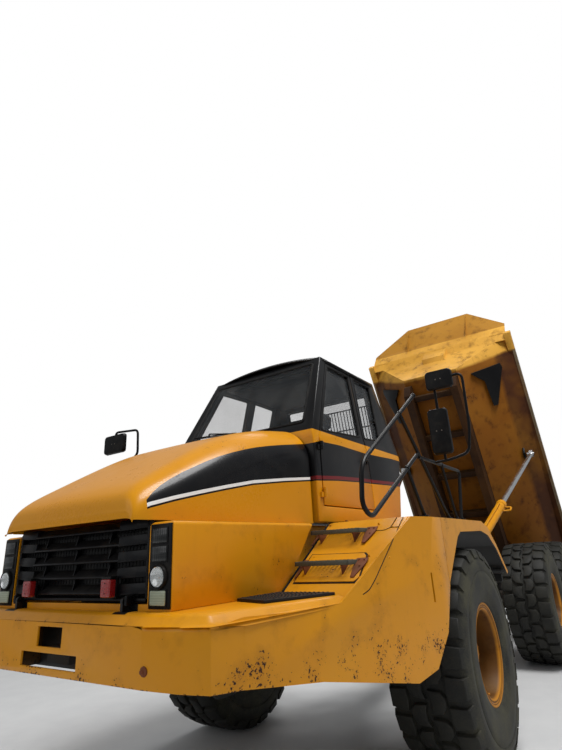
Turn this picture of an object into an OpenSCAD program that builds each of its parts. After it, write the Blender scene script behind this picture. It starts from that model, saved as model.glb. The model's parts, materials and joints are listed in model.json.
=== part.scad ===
// Articulated dump truck: a three-axle hauler hinged between its tractor and its dump body frame.
// X points forward, Y to the driver's left and Z up. Lengths are in millimetres.
// Construction is drawn with x = 0 over the front axle and is moved to the middle of the
// bounding box by vehicle().

/* [Wheels] */
// tyre outside diameter over the lugs
tyre_d = 1750; // [1600:10:1900]
// tyre section width
tyre_w = 673; // [560:1:760]
// rim flange radius
rim_r = 394; // [360:1:420]
// lug height above the carcass
lug_h = 34; // [0:1:50]
// lugs around one tread row
lug_count = 26; // [18:1:36]
// distance between the wheel centres of one axle
track = 2620; // [2400:10:2900]
// front axle to middle axle
base_middle = 4415; // [4200:5:4700]
// middle axle to rear axle
tandem = 1966; // [1800:2:2100]
// hub radius inside the rim disc
hub_r = 190; // [150:5:240]
// spindle radius that the hub turns on
spindle_r = 80; // [60:5:110]

/* [Articulation] */
// hitch pin behind the front axle
hitch_back = 1310; // [1100:5:1500]
// height of the oscillation tube's axis
osc_z = 1010; // [900:5:1200]
// oscillation tube radius
osc_r = 170; // [120:5:220]
// hitch pin radius
hitch_pin_r = 60; // [40:5:90]
// bore radius of the front and rear tow lugs
tow_bore_r = 28; // [20:1:40]

/* [Tractor] */
// front face of the bumper ahead of the front axle
nose_x = 3180; // [2900:10:3400]
// underside of the bumper
bumper_z = 1200; // [1100:10:1300]
// top of the upright face of the bumper and skirts
lip_z = 1465; // [1440:5:1490]
// deck height behind the sloping bumper lip
deck_z = 1520; // [1495:5:1550]
// top of the fenders
fender_z = 1990; // [1850:5:2100]
// half width over the fenders
fender_y = 1620; // [1500:5:1700]
// sheet thickness of bumper, skirts and fenders
sheet = 16; // [8:1:25]
// half width of the nose sheet metal around the grille
nose_y = 675; // [600:5:750]
// outside of the lamp boxes beside the hood
box_y = 860; // [800:5:950]
// rear end of the hood
hood_back = 1470; // [1400:5:1550]
// hood skin thickness
hood_t = 14; // [8:1:25]

/* [Cab] */
// cab roof height
roof_z = 3650; // [3500:10:3800]
// window sill height
sill_z = 2760; // [2600:10:2900]
// underside of the cab
cab_z = 2000; // [1995:5:2100]
// cab half width below the sill
cab_y = 830; // [760:5:900]
// cab half width at the roof
roof_y = 683; // [600:5:760]
// cab wall and door thickness
cab_t = 45; // [30:1:70]
// gap around the door
door_gap = 8; // [5:1:15]
// glass thickness
glass_t = 6; // [4:1:10]

/* [Dump body] */
// rest angle of the raised body
bed_tilt = 62; // [0:1:70]
// body pivot behind the front axle
bed_pivot_back = 6700; // [6500:10:7100]
// body pivot height
bed_pivot_z = 1420; // [1300:10:1550]
// half width over the top rails
bed_y = 1637; // [1500:1:1750]
// half width of the flat floor
floor_y = 567; // [520:1:700]
// underside of the floor with the body lowered
floor_z = 1690; // [1650:5:1760]
// half width where the sloping floor plates meet the sides
fold_y = 1440; // [1380:5:1500]
// height where the sloping floor plates meet the sides
fold_z = 2495; // [2400:5:2560]
// height of the light band across the front with the body lowered
band_z = 3087; // [3000:5:3200]
// top of the spill guard with the body lowered
guard_z = 3697; // [3500:5:3800]
// half width of the spill guard's top edge
guard_y = 705; // [500:5:900]
// side and front plate thickness
bed_t = 14; // [8:1:25]
// floor plate thickness
floor_t = 20; // [12:1:30]
// top rail height and width
rail_h = 130; // [90:5:180]

/* [Cylinders] */
// hoist barrel radius
hoist_r = 75; // [60:1:110]
// hoist rod radius
hoist_rod_r = 42; // [34:1:60]
// steering barrel radius
steer_r = 58; // [45:1:75]
// steering rod radius
steer_rod_r = 30; // [22:1:40]
// pin radius of the cylinder eyes
eye_pin_r = 32; // [20:1:45]

/* [Hidden] */
$fn = 48;
fine = 96;

yellow = [0.93, 0.62, 0.08];
black = [0.07, 0.07, 0.08];
steel = [0.30, 0.29, 0.28];
rubber = [0.13, 0.13, 0.12];
chrome = [0.82, 0.83, 0.84];
glass = [0.55, 0.62, 0.66, 0.4];
red = [0.75, 0.10, 0.08];
fabric = [0.20, 0.20, 0.22];

axle_z = tyre_d / 2;
hood_hinge = [3082, 0, 1568];
hinge_pin_r = 10;
wheel_y = track / 2;
middle_x = -base_middle;
rear_x = middle_x - tandem;
hitch_x = -hitch_back;
bed_px = -bed_pivot_back;

// dump body side profile with the body lowered: the front wall leans forward, the floor kicks up
bed_front_z = 2780;
bed_tail_x = -7839;
bed_tail_z = 2620;
floor_front_x = -2556;
floor_break_x = -6400;
tail_floor_z = 2360;
wall_top = [-2343, 2640];
lip_end = [-2192, 2795];
band_end = [lip_end[0] + 0.485 * (band_z - lip_end[1]), band_z];
guard_end = [band_end[0] + 0.662 * (guard_z - band_z), guard_z];
band_y = 1532;
wall_lean = (wall_top[0] - floor_front_x) / (wall_top[1] - floor_z);
bed_front_x = lip_end[0];
side_y = bed_y - rail_h / 2;

// outward direction of the plates that cut the front corners off
chamfer_dir = [0.2576, 0.3442, -0.3204];

// floor height at a place along the body
function floor_at(x) = x > floor_break_x ? floor_z
    : floor_z + (tail_floor_z - floor_z) * (x - floor_break_x) / (bed_tail_x - floor_break_x);

// underside of the sloping floor plates
function slope_at(y) = floor_z + (fold_z - floor_z) * (y - floor_y) / (fold_y - floor_y);

// rear-most point with the body raised: the top rear corner of the rails
tail_dx = bed_tail_x - bed_px;
tail_dz = bed_tail_z - bed_pivot_z;
x_rear = bed_px + tail_dx * cos(bed_tilt) - tail_dz * sin(bed_tilt);
x_front = nose_x;
x_shift = -(x_front + x_rear) / 2;

// the left mirror's tube reaches further out than anything on the right, where the tyres are widest
mirror_tube_r = 12;
mirror_reach = 1930;
y_left = mirror_reach + mirror_tube_r * 1.09;
y_shift = -(y_left - wheel_y - tyre_w / 2) / 2;

// cylinder pins: [x, y, z] on the left side
hoist_pin = [-2300, 710, 1300];
hoist_eye_low = [-4797, 1420, 2310];
steer_pin = [hitch_x + 1200, 550, 1225];
steer_eye = [hitch_x - 300, 420, 1225];

hoist_dx = hoist_eye_low[0] - bed_px;
hoist_dz = hoist_eye_low[2] - bed_pivot_z;
hoist_eye = [bed_px + hoist_dx * cos(bed_tilt) - hoist_dz * sin(bed_tilt), hoist_eye_low[1],
    bed_pivot_z + hoist_dx * sin(bed_tilt) + hoist_dz * cos(bed_tilt)];

// Placing
module vehicle() translate([x_shift, y_shift, 0]) children();

module both() {
    children();
    mirror([0, 1, 0]) children();
}

module side_plate(y0, y1, points) translate([0, y1, 0]) rotate([90, 0, 0])
    linear_extrude(y1 - y0) polygon(points);

module cross_plate(x0, x1, points) translate([x0, 0, 0]) rotate([90, 0, 90])
    linear_extrude(x1 - x0) polygon(points);

module block(x, y, z) translate([x[0], y[0], z[0]])
    cube([x[1] - x[0], y[1] - y[0], z[1] - z[0]]);

module along(p, q) {
    d = q - p;
    translate(p) rotate([0, acos(d[2] / norm(d)), atan2(d[1], d[0])]) children();
}

module bar(p, q, r) along(p, q) cylinder(r = r, h = norm(q - p));

// a tube through a list of points, with a round weld at each corner
module tube_path(points, r) {
    last = len(points) - 1;
    for (i = [0:last - 1]) bar(points[i], points[i + 1], r);
    for (i = [1:last - 1]) translate(points[i]) sphere(r = r * 1.09, $fn = 24);
}

module cross_pin(p, r, y0, y1) translate([p[0], y0, p[2]]) rotate([-90, 0, 0])
    cylinder(r = r, h = y1 - y0);

module bed_pose() translate([bed_px, 0, bed_pivot_z]) rotate([0, -bed_tilt, 0])
    translate([-bed_px, 0, -bed_pivot_z]) children();

// Wheels
lug_band_w = tyre_w * 0.21;
tread_w = tyre_w * 0.92;
carcass_r = tyre_d / 2 - lug_h;
bead_r = rim_r - 42;

// one toothed ring of the tread, between two heights along the wheel axis
module lug_row(z0, z1, turn) translate([0, 0, z0]) rotate(turn) linear_extrude(z1 - z0)
    difference() {
        polygon([for (i = [0:lug_count - 1], k = [0:3])
            let (a = 360 / lug_count * (i + [0.10, 0.16, 0.70, 0.76][k]),
                 r = (k == 0 || k == 3) ? carcass_r - 30 : tyre_d / 2)
            [r * cos(a), r * sin(a)]]);
        circle(r = carcass_r - 90, $fn = 24);
    }

module tyre_at(x, side) vehicle() translate([x, side * wheel_y, axle_z]) rotate([-90 * side, 0, 0])
    color(rubber) {
        rotate_extrude($fn = fine) polygon([
            [bead_r, -250], [bead_r, -280], [rim_r + 2, -280], [rim_r + 8, -302], [460, -318],
            [600, -tyre_w / 2], [720, -330],
            [800, -tread_w / 2], [carcass_r - 22, -tread_w / 2 + 22], [carcass_r, -tread_w / 4],
            [carcass_r, tread_w / 4], [carcass_r - 22, tread_w / 2 - 22], [800, tread_w / 2],
            [720, 330], [600, tyre_w / 2], [460, 318], [rim_r + 8, 302], [rim_r + 2, 280],
            [bead_r, 280], [bead_r, 250]]);
        for (row = [[-tread_w / 2, 0], [-tread_w / 4 + 6, 0.5], [6, 0], [tread_w / 4 + 6, 0.5]])
            lug_row(row[0], row[0] + tread_w / 4 - 6, row[1] * 360 / lug_count);
    }

module rim_at(x, side) vehicle() translate([x, side * wheel_y, axle_z]) rotate([-90 * side, 0, 0])
    color(yellow) {
        rotate_extrude($fn = fine) polygon([
            [hub_r, -40], [300, -40], [bead_r - 34, -120], [bead_r - 34, -282], [rim_r - 20, -295],
            [rim_r, -295], [rim_r, -281], [bead_r, -281], [bead_r, 281], [rim_r, 281], [rim_r, 295],
            [bead_r - 20, 295], [bead_r - 24, 60], [300, 10], [hub_r, 10]]);
        rotate_extrude() polygon([[spindle_r + 0.3, -150], [hub_r + 10, -150], [hub_r + 10, 60],
            [150, 90], [135, 150], [60, 165], [0, 165], [0, -60], [spindle_r + 0.3, -60]]);
    }

module tyre_fl() tyre_at(0, 1);
module tyre_fr() tyre_at(0, -1);
module tyre_ml() tyre_at(middle_x, 1);
module tyre_mr() tyre_at(middle_x, -1);
module tyre_rl() tyre_at(rear_x, 1);
module tyre_rr() tyre_at(rear_x, -1);
module rim_fl() rim_at(0, 1);
module rim_fr() rim_at(0, -1);
module rim_ml() rim_at(middle_x, 1);
module rim_mr() rim_at(middle_x, -1);
module rim_rl() rim_at(rear_x, 1);
module rim_rr() rim_at(rear_x, -1);

// Axles
// radius of the differential bulb
bulb_r = 280;
axle_end = wheel_y - 155;

// one revolve about the axle's line: wheel flanges, tubes and the differential bulb
module axle_housing(x) translate([x, 0, axle_z]) {
    rotate([-90, 0, 0]) rotate(37) rotate_extrude() polygon([[0, -axle_end - 90],
        [spindle_r, -axle_end - 90], [spindle_r, -axle_end], [170, -axle_end], [170, 135 - axle_end],
        [115, 165 - axle_end], [115, -290], [bulb_r, -120], [bulb_r, 120], [115, 290],
        [115, axle_end - 165], [170, axle_end - 135], [170, axle_end], [spindle_r, axle_end],
        [spindle_r, axle_end + 90], [0, axle_end + 90]]);
    for (k = [-1, 1]) rotate([0, 90 * k, 0]) translate([0, 0, bulb_r - 60]) cylinder(r = 90, h = 160);
}

module front_axle() vehicle() color(steel) axle_housing(0);
module middle_axle() vehicle() color(steel) axle_housing(middle_x);
module rear_axle() vehicle() color(steel) axle_housing(rear_x);

// Tractor frame
frame_y = 430;
frame_t = 40;
tow_x = nose_x - 120;
engine_z = 1000;
tow_rear_x = -7080;

// plan of the left nose plate that narrows from the rails to the hitch: [x, y]
nose_plate = [[-250, 430], [-1000, 200], [-1000, 160], [-250, 390]];

module front_frame() vehicle() color(steel) difference() {
    union() {
        both() side_plate(frame_y - frame_t, frame_y, [[3000, 1190], [3000, 1440], [1500, 1440],
            [300, 1420], [-250, 1420], [-250, 1120], [420, 1120], [600, 900], [2200, 900],
            [2600, 1190]]);
        both() translate([0, 0, 900]) linear_extrude(520) polygon(nose_plate);
        for (z = [[900, 940], [1380, 1420]]) translate([0, 0, z[0]]) linear_extrude(z[1] - z[0])
            polygon([[-400, 380], [-1000, 200], [-1000, -200], [-400, -380]]);
        block([2960, 3000], [-frame_y, frame_y], [1190, 1440]);
        // cross member under the engine
        block([1050, 1090], [-frame_y, frame_y], [920, engine_z - 0.3]);
        // cross box that carries the hitch ears
        block([-1040, -960], [-200, 200], [700, 1420]);
        // upper and lower hitch ears
        for (z = [[700, 770], [1350, 1420]]) {
            block([hitch_x, -960], [-150, 150], z);
            translate([hitch_x, 0, z[0]]) cylinder(r = 150, h = z[1] - z[0]);
        }
        // axle seats
        both() block([-160, 160], [300, frame_y], [axle_z + 40, 1130]);
        // tow lug behind the nose slots
        block([2990, 3110], [-110, 110], [1240, 1325]);
    }
    translate([hitch_x, 0, 690]) cylinder(r = hitch_pin_r, h = 740);
    translate([tow_x, 0, 1230]) cylinder(r = tow_bore_r, h = 105);
    translate([0, 600, axle_z]) rotate([90, 0, 0]) cylinder(r = 115.3, h = 1200);
}

// arms, brackets and mounts that are bolted to the front frame
module frame_brackets() vehicle() color(steel) both() {
    // steering cylinder brackets with their pin
    for (z = [steer_pin[2] - 100, steer_pin[2] + 72])
        block([steer_pin[0] - 60, steer_pin[0] + 60], [frame_y, steer_pin[1] + 55], [z, z + 28]);
    translate([steer_pin[0], steer_pin[1], steer_pin[2] - 90]) cylinder(r = eye_pin_r, h = 180);
    // arms out to the fenders
    block([800, 846], [frame_y, 1560], [1400, 1499.5]);
    block([-1220, -1000.5], [200, 420], [1330, 1370]);
    block([-1220, -1170], [380, 1560], [1370, 1447]);
    // cab mounts
    for (x = [-200, 1250]) translate([x, 410, 1420 + (x > 300 ? 20 : 0)])
        cylinder(r = 20, h = cab_z - 1420 - (x > 300 ? 20 : 0));
}

module engine() vehicle() color(steel) {
    side_plate(-350, 350, [[1150, engine_z + 10], [1700, engine_z + 10], [2000, 1240], [2750, 1240],
        [2750, 1900], [1150, 1900]]);
    block([560, 1150], [-300, 300], [engine_z, 1380]);
}

// Bumper, skirts and fenders
// plan outline of the left half, from the middle of the nose back to the wheel arch: [x, y]
nose_plan = [[nose_x, 0], [nose_x, 800], [3151, 1027], [3098, 1173], [2900, 1215], [1050, fender_y],
    [500, fender_y]];

// the deck inside the lip, left half: [x, y]
deck_back = 2095;
deck_plan = [[3130, 0], [3130, 790], [3104, 1002], [3062, 1126], [2890, 1164], [deck_back, 1338]];
lip_plan = [[nose_x, 0], [nose_x, 800], [3151, 1027], [3098, 1173], [2900, 1215], [deck_back, 1391]];

// foot of the sloping steps panel, against the back edge of the deck
panel_foot = [deck_back - 1, deck_z - 14];

skirt_profile = [[3300, bumper_z], [3300, lip_z], [2180, lip_z + 15], [1340, fender_z],
    [846, fender_z], [846, 1480], [875, 1437], [1055, 1177], [1246, 979], [1487, 938],
    [2365, 1108], [2900, 1172]];

module skirt_half() intersection() {
    linear_extrude(2200) difference() {
        polygon(concat([[0, 0]], nose_plan));
        polygon([[0, -1], [nose_x - sheet, -1], [nose_x - sheet, 796], [3151 - sheet, 1018],
            [3098 - sheet, 1158], [2892, 1200], [1048, fender_y - sheet], [0, fender_y - sheet]]);
    }
    side_plate(-10, fender_y + 10, skirt_profile);
}

deck_t = 12;

// deck and lip as one low dome over the bumper, lowered and drawn in by t
module deck_dome(t) hull() {
    translate([0, 0, lip_z - 2 - t]) linear_extrude(1) deck_outline(lip_plan, t);
    translate([0, 0, deck_z - 1 - t]) linear_extrude(1) deck_outline(deck_plan, t);
}

module deck_outline(half, t) polygon(concat(
    [for (p = half) [p[0] == deck_back ? deck_back - t : p[0] - t, p[1] == 0 ? 0 : p[1] - t]],
    [for (i = [len(half) - 1:-1:1]) [half[i][0] == deck_back ? deck_back - t : half[i][0] - t, t - half[i][1]]]));

module bumper() vehicle() color(yellow) difference() {
    union() {
        both() skirt_half();
        // deck plate with its sloping lip
        difference() {
            deck_dome(0);
            deck_dome(deck_t);
            block([1000, 3060], [-nose_y - 5, nose_y + 5], [deck_z - 60, deck_z + 60]);
        }
        both() block([3000, 3166], [frame_y - 80, frame_y], [1200, 1430]);
    }
    // tow slots in the front face
    block([3000, 3300], [-120, 120], [1336, 1440]);
    block([3000, 3300], [-270, 270], [1230, 1304]);
    // hand slots in the skirts
    both() block([1162, 1182], [1500, 1700], [1390, 1590]);
}

arch = [[846, 1500], [447, 1839], [343, 1882], [-387, 1895], [-635, 1854], [-903, 1713],
    [-1212, 1447]];
fender_top = [[-1250, 1470], [-930, 1760], [-680, 1930], [-455, fender_z], [846, fender_z]];

// plan of the room inside the skirt, where the steps panel fits: [x, y]
skirt_room = [[0, 0], [3150, 0], [3150, 1000], [3098 - sheet, 1157], [2892, 1198.5],
    [1048, fender_y - sheet - 1.5], [0, fender_y - sheet - 1.5]];

module fender_half() {
    // outer side sheet over the wheel
    side_plate(fender_y - sheet, fender_y, concat(arch, fender_top));
    // top sheet
    side_plate(870, fender_y, concat([for (p = fender_top) p],
        [[846, fender_z - sheet], [-450, fender_z - sheet], [-672, 1915], [-920, 1748], [-1238, 1460]]));
    // inner arch sheet
    side_plate(870, 870 + sheet, concat(arch, fender_top));
    // sloped steps panel from the deck up to the fender top
    intersection() {
        side_plate(box_y + 5, fender_y, [panel_foot, [1340, fender_z], [840, fender_z],
            [840, fender_z - sheet], [1330, fender_z - sheet], panel_foot - [25, 0]]);
        linear_extrude(2200) polygon(skirt_room);
    }
}

module fenders() vehicle() color(yellow) both() fender_half();

// the lamp boxes stand on the deck plate; their rear edge leans forward at the foot
lamp_seat_z = deck_z + 0.3;
lamp_top = [1590, 1985];
lamp_foot_x = 2010;

module lamp_boxes() vehicle() color(yellow) {
    both() difference() {
        side_plate(nose_y, box_y, [[3050, lamp_seat_z], [3050, 1975], lamp_top, [lamp_foot_x, lamp_seat_z]]);
        side_plate(nose_y + 14, box_y - 14, [[3080, deck_z + 14], [3080, 1960],
            [lamp_top[0] + 40, lamp_top[1] - 17], [lamp_foot_x + 20, deck_z + 14]]);
    }
    // inner walls go on to the cab beside the engine
    both() side_plate(nose_y, nose_y + 14, [[860, lamp_seat_z], [lamp_foot_x + 10, lamp_seat_z],
        [lamp_top[0] + 10, lamp_top[1]], [860, lamp_top[1]]]);
    // strip under the grille, with the ears that the hood tilts on
    block([3020, 3050], [-nose_y, nose_y], [deck_z - 5, 1553]);
    both() difference() {
        union() {
            block([3045, 3105], [520, 540], [deck_z + 0.3, hood_hinge[2]]);
            translate([hood_hinge[0], 540, hood_hinge[2]]) rotate([90, 0, 0]) cylinder(r = 25, h = 20);
        }
        translate([hood_hinge[0], 560, hood_hinge[2]]) rotate([90, 0, 0])
            cylinder(r = hinge_pin_r + 0.1, h = 60);
    }
}

module headlamps() vehicle() color(black) both() {
    block([2990, 3046], [nose_y + 14, box_y - 14], [deck_z + 14.3, 1955]);
    translate([3040, (nose_y + box_y) / 2, 1690]) rotate([0, 90, 0]) cylinder(r = 52, h = 24);
    block([3040, 3060], [nose_y + 30, box_y - 30], [1550, 1625]);
    block([3040, 3060], [nose_y + 30, box_y - 30], [1770, 1920]);
}

module marker_lamps() vehicle() color(red) both() block([3070, 3126], [360, 445], [1585, 1698]);

// step treads on the sloping panel: [x of the front edge, top z, inner y, outer y]
step_table = [[1950, 1715, 905, 1320], [1630, 1925, 860, 1265]];

module steps() vehicle() color(black) both() {
    for (s = step_table) difference() {
        block([s[0] - 190, s[0]], [s[2], s[3]], [s[1] - 28, s[1]]);
        // cut back to the panel's face
        side_plate(800, 1500, [panel_foot, [1340, fender_z], [1000, 1400], [2100, 1400]]);
    }
    for (s = step_table, y = [s[2] + 60, s[3] - 60]) difference() {
        side_plate(y - 5, y + 5, [[s[0] - 10, s[1] - 28], [s[0] - 260, s[1] - 28], [s[0] - 100, s[1] - 200]]);
        side_plate(800, 1500, [panel_foot, [1340, fender_z], [1000, 1400], [2100, 1400]]);
    }
    // tread plate on the deck
    translate([0, 0, deck_z + 0.3]) linear_extrude(22) polygon([[2110, box_y + 12], [2540, box_y + 12],
        [2640, 1150], [2130, 1310]]);
}

// Cab
// side view of the cab shell: [x, z]
cab_side = [[1440, cab_z], [1440, sill_z], [950, roof_z - 20], [-297, roof_z], [-500, sill_z],
    [-300, cab_z]];
module cab_solid(d) intersection() {
    side_plate(-cab_y, cab_y, [[1440 - d, cab_z + d], [1440 - d, sill_z], [950 - d, roof_z - 20 - d],
        [-297 + d, roof_z - d], [-500 + d, sill_z], [-300 + d, cab_z + d]]);
    cross_plate(-600, 1500, [[-cab_y + d, cab_z], [-cab_y + d, sill_z - 60], [-roof_y + d, roof_z],
        [roof_y - d, roof_z], [cab_y - d, sill_z - 60], [cab_y - d, cab_z]]);
}

door_outline = [[1340, 2130], [1340, 2730], [870, 3590], [330, 3590], [400, 2900], [330, 2130]];
door_window = [[1262, 2790], [855, 3545], [385, 3555], [470, 2850]];
rear_window = [[265, 3565], [-150, 3560], [-40, 2890], [360, 2850]];

module door_prism(d) side_plate(300, cab_y + 40, [[1340 - d, 2130 + d], [1340 - d, 2730],
    [870 - d, 3590 - d], [330 + d, 3590 - d], [400 + d, 2900], [330 + d, 2130 + d]]);

// door hinge line: [x, y], knuckle heights, knuckle and pin radii
door_hinge = [1345, 850];
knuckle_z = [2200, 2600];
knuckle_r = 14;
knuckle_pin_r = 8;
knuckle_h = 40;

module cab_shell() vehicle() color(black) {
    difference() {
        cab_solid(0);
        cab_solid(cab_t);
        // windscreen, side and rear windows
        front_cut();
        side_plate(300, 1000, rear_window);
        side_plate(-1000, -300, rear_window);
        side_plate(-1000, -300, door_window);
        rear_cut();
        door_prism(0);
    }
    for (z = knuckle_z) {
        block([door_hinge[0], door_hinge[0] + 50], [cab_y - 4, door_hinge[1] - 4], [z, z + knuckle_h]);
        translate([door_hinge[0], door_hinge[1], z]) cylinder(r = knuckle_r, h = knuckle_h);
        translate([door_hinge[0], door_hinge[1], z]) cylinder(r = knuckle_pin_r, h = 2 * knuckle_h);
    }
}

module rear_cut() block([-700, -200], [-560, 560], [2900, 3520]);

module front_cut() intersection() {
    side_plate(-760, 760, [[1700, 2860], [1000, 3560], [800, 3560], [1200, 2860]]);
    cross_plate(800, 1700, [[-700, 2860], [-620, 3560], [620, 3560], [700, 2860]]);
}

// a pane is set 18 mm into the wall
module glass_skin() difference() {
    cab_solid(18);
    cab_solid(18 + glass_t);
}

module cab_glass() vehicle() color(glass) {
    intersection() {
        front_cut();
        side_plate(-760, 760, [[1384, 2840], [1390, 2840], [984, 3571], [978, 3571]]);
    }
    intersection() {
        glass_skin();
        union() {
            side_plate(300, 1000, rear_window);
            side_plate(-1000, -300, rear_window);
            side_plate(-1000, -300, door_window);
        }
    }
    intersection() {
        glass_skin();
        rear_cut();
    }
}

module cab_door() vehicle() color(black) {
    difference() {
        intersection() {
            difference() {
                cab_solid(0);
                cab_solid(cab_t);
            }
            door_prism(door_gap);
        }
        side_plate(300, 1000, door_window);
    }
    for (z = knuckle_z) difference() {
        union() {
            block([door_hinge[0] - 55, door_hinge[0]], [cab_y + 0.5, door_hinge[1] - 4],
                [z + knuckle_h + 1, z + 2 * knuckle_h - 1]);
            block([door_hinge[0] - 55, door_hinge[0] - 20], [cab_y - 4, cab_y + 2],
                [z + knuckle_h + 1, z + 2 * knuckle_h - 1]);
            translate([door_hinge[0], door_hinge[1], z + knuckle_h + 1])
                cylinder(r = knuckle_r, h = knuckle_h - 2);
        }
        translate([door_hinge[0], door_hinge[1], z]) cylinder(r = knuckle_pin_r + 0.3, h = 3 * knuckle_h);
    }
}

module door_glass() vehicle() color(glass) intersection() {
    glass_skin();
    side_plate(300, 1000, door_window);
}

module cab_interior() vehicle() color(fabric) {
    block([-50, 450], [-260, 260], [cab_z + cab_t, 2420]);
    block([-40, 440], [-250, 250], [2420, 2560]);
    side_plate(-240, 240, [[-20, 2540], [100, 2540], [-40, 3240], [-140, 3240]]);
    block([1000, 1380], [-500, 500], [cab_z + cab_t, 2720]);
}

// Rails and mirrors
rail_y = 1560;
rail_r = 16;
rail_z = 2475;
rail_foot_h = 20;

module rail(points) tube_path([for (p = points) [p[0], rail_y, p[1]]], rail_r);

module rail_foot(x) translate([x, rail_y, fender_z]) cylinder(r = 34, h = rail_foot_h);

module handrails() vehicle() color(black) both() {
    // hand loop along the steps
    rail([[900, 3030], [2100, 2300], [2150, 2030], [2030, 1960], [1010, 2495]]);
    rail([[1302, 2785], [420, fender_z + 16]]);
    rail([[1295, 2350], [1050, fender_z + 16]]);
    // low rail beside the cab
    rail([[990, rail_z], [-180, rail_z], [20, fender_z + 16]]);
    rail([[395, rail_z], [180, fender_z + 16]]);
    for (x = [1050, 420, 180, 20]) rail_foot(x);
}

mirror_t = 45;
// distance from a tube's axis to the back of the mirror shell it carries
mirror_seat = mirror_tube_r + 0.3;
left_mirror_x = 600;
right_mirror_x = 1720;

// a plate across the machine with round corners: x, y and z ranges and a corner radius
module round_plate(x, y, z, r) {
    block(x, [y[0] + r, y[1] - r], z);
    block(x, y, [z[0] + r, z[1] - r]);
    for (a = [y[0] + r, y[1] - r], b = [z[0] + r, z[1] - r])
        translate([x[0], a, b]) rotate([0, 90, 0]) cylinder(r = r, h = x[1] - x[0]);
}

module mirrors() vehicle() color(black) {
    // left: a tall glass with a wide-angle glass above, on one bent tube from the low rail
    round_plate([left_mirror_x, left_mirror_x + mirror_t], [1573, 1757], [2528, 2950], 30);
    round_plate([left_mirror_x, left_mirror_x + mirror_t], [1600, 1852], [3122, 3305], 30);
    tube_path([for (p = [[1700, 3240], [mirror_reach, 3240], [1915, 2743], [1876, 2521], [1700, 2480],
        [rail_y + rail_r + 0.3, rail_z]]) [left_mirror_x - mirror_seat, p[0], p[1]]], mirror_tube_r);
    bar([left_mirror_x - mirror_seat, 1665, 2490], [left_mirror_x - mirror_seat, 1665, 3280], mirror_tube_r);
    // right: a wide glass ahead of the cab, on a bent tube from the fender's top
    round_plate([right_mirror_x, right_mirror_x + mirror_t], [-1600, -1270], [2850, 3052], 30);
    tube_path([for (p = [[0, -1480, 2900], [0, -1480, 3092], [0, -1120, 3060], [0, -1105, 2800],
        [0, -1250, 2740], [-220, -1400, 2400], [-430, -1485, 2300], [-430, -1485, fender_z + 4]])
        [right_mirror_x - mirror_seat + p[0], p[1], p[2]]], mirror_tube_r);
    translate([right_mirror_x - mirror_seat - 430, -1485, fender_z]) cylinder(r = 34, h = 12);
}

// back face of the cab at a height
function cab_rear_at(z) = -300 - 200 * (z - cab_z) / (sill_z - cab_z);

module rear_louvre() vehicle() color(black) {
    block([-700, -560], [-600, 600], [fender_z - 20, 2020]);
    for (i = [0:7]) side_plate(-600, 600, [[-700, 2060 + i * 90], [-690, 2054 + i * 90],
        [-610, 2104 + i * 90], [-620, 2110 + i * 90]]);
    both() block([-700, -600], [600, 620], [2000, 2800]);
    // arms to the back of the cab
    both() for (z = [2080, 2700]) block([-620, cab_rear_at(z + 40) - 0.3], [560, 620], [z, z + 40]);
}

// Hood
// cross sections of the hood: [x, half width, top z, corner radius]
hood_sections = [[3168, 655, 2030, 60], [3130, 668, 2120, 110], [2890, 690, 2260, 170],
    [2330, 735, 2595, 260], [1890, 765, 2755, 300], [hood_back, 790, 2862, 320]];
hood_low = 1990;

module hood_section(s, d) translate([s[0], 0, 0]) rotate([90, 0, 90]) linear_extrude(1) hull() {
    translate([-s[1] + d, hood_low - 20]) square([2 * (s[1] - d), 10]);
    for (k = [-1, 1]) translate([k * (s[1] - s[3]), s[2] - s[3]]) circle(r = s[3] - d, $fn = 32);
}

module hood_solid(d) hull() for (s = hood_sections) hood_section(s, d);

module hood() vehicle() color(yellow) difference() {
    hood_solid(0);
    translate([-hood_t, 0, -0.5]) hood_solid(hood_t);
    block([1000, 3300], [-900, 900], [1900, hood_low]);
}

module grille() vehicle() color(black) {
    block([3000, 3020], [-nose_y + 8, nose_y - 8], [1575, 1980]);
    for (i = [0:4]) block([3015, 3070], [-nose_y + 10, nose_y - 10], [1600 + i * 80, 1642 + i * 80]);
    for (y = [-330, 0, 330]) block([3015, 3064], [y - 6, y + 6], [1600, 1810]);
    both() block([2900, 3010], [nose_y - 60, nose_y - 40], [1600, hood_low - 0.3]);
    both() block([2900, 3010], [nose_y - 60, nose_y + 6], [hood_low - 11, hood_low - 0.3]);
    // tilt hinge lugs and pins
    both() {
        block([3060, 3104], [550, 570], [hood_hinge[2] - 20, 1600]);
        translate([hood_hinge[0], 570, hood_hinge[2]]) rotate([90, 0, 0])
            cylinder(r = hinge_pin_r, h = 60);
    }
}

// Hitch and rear frame
module hitch() vehicle() color(steel) {
    difference() {
        union() {
            translate([hitch_x, 0, 775]) cylinder(r = 140, h = 570);
            block([hitch_x - 420, hitch_x], [-140, 140], [840, 1340]);
        }
        translate([hitch_x, 0, 700]) cylinder(r = hitch_pin_r, h = 800);
    }
    translate([hitch_x, 0, 700]) cylinder(r = hitch_pin_r - 0.5, h = 720);
    // oscillation spigot
    translate([hitch_x - 700, 0, osc_z]) rotate([0, 90, 0]) cylinder(r = osc_r - 40, h = 300);
}

// ears on the hitch that the steering rods push
module steer_ears() vehicle() color(steel) both()
    block([steer_eye[0] - 70, steer_eye[0] + 70], [140, steer_eye[1] + 60],
        [steer_eye[2] - 95, steer_eye[2] - 60]);

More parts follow.
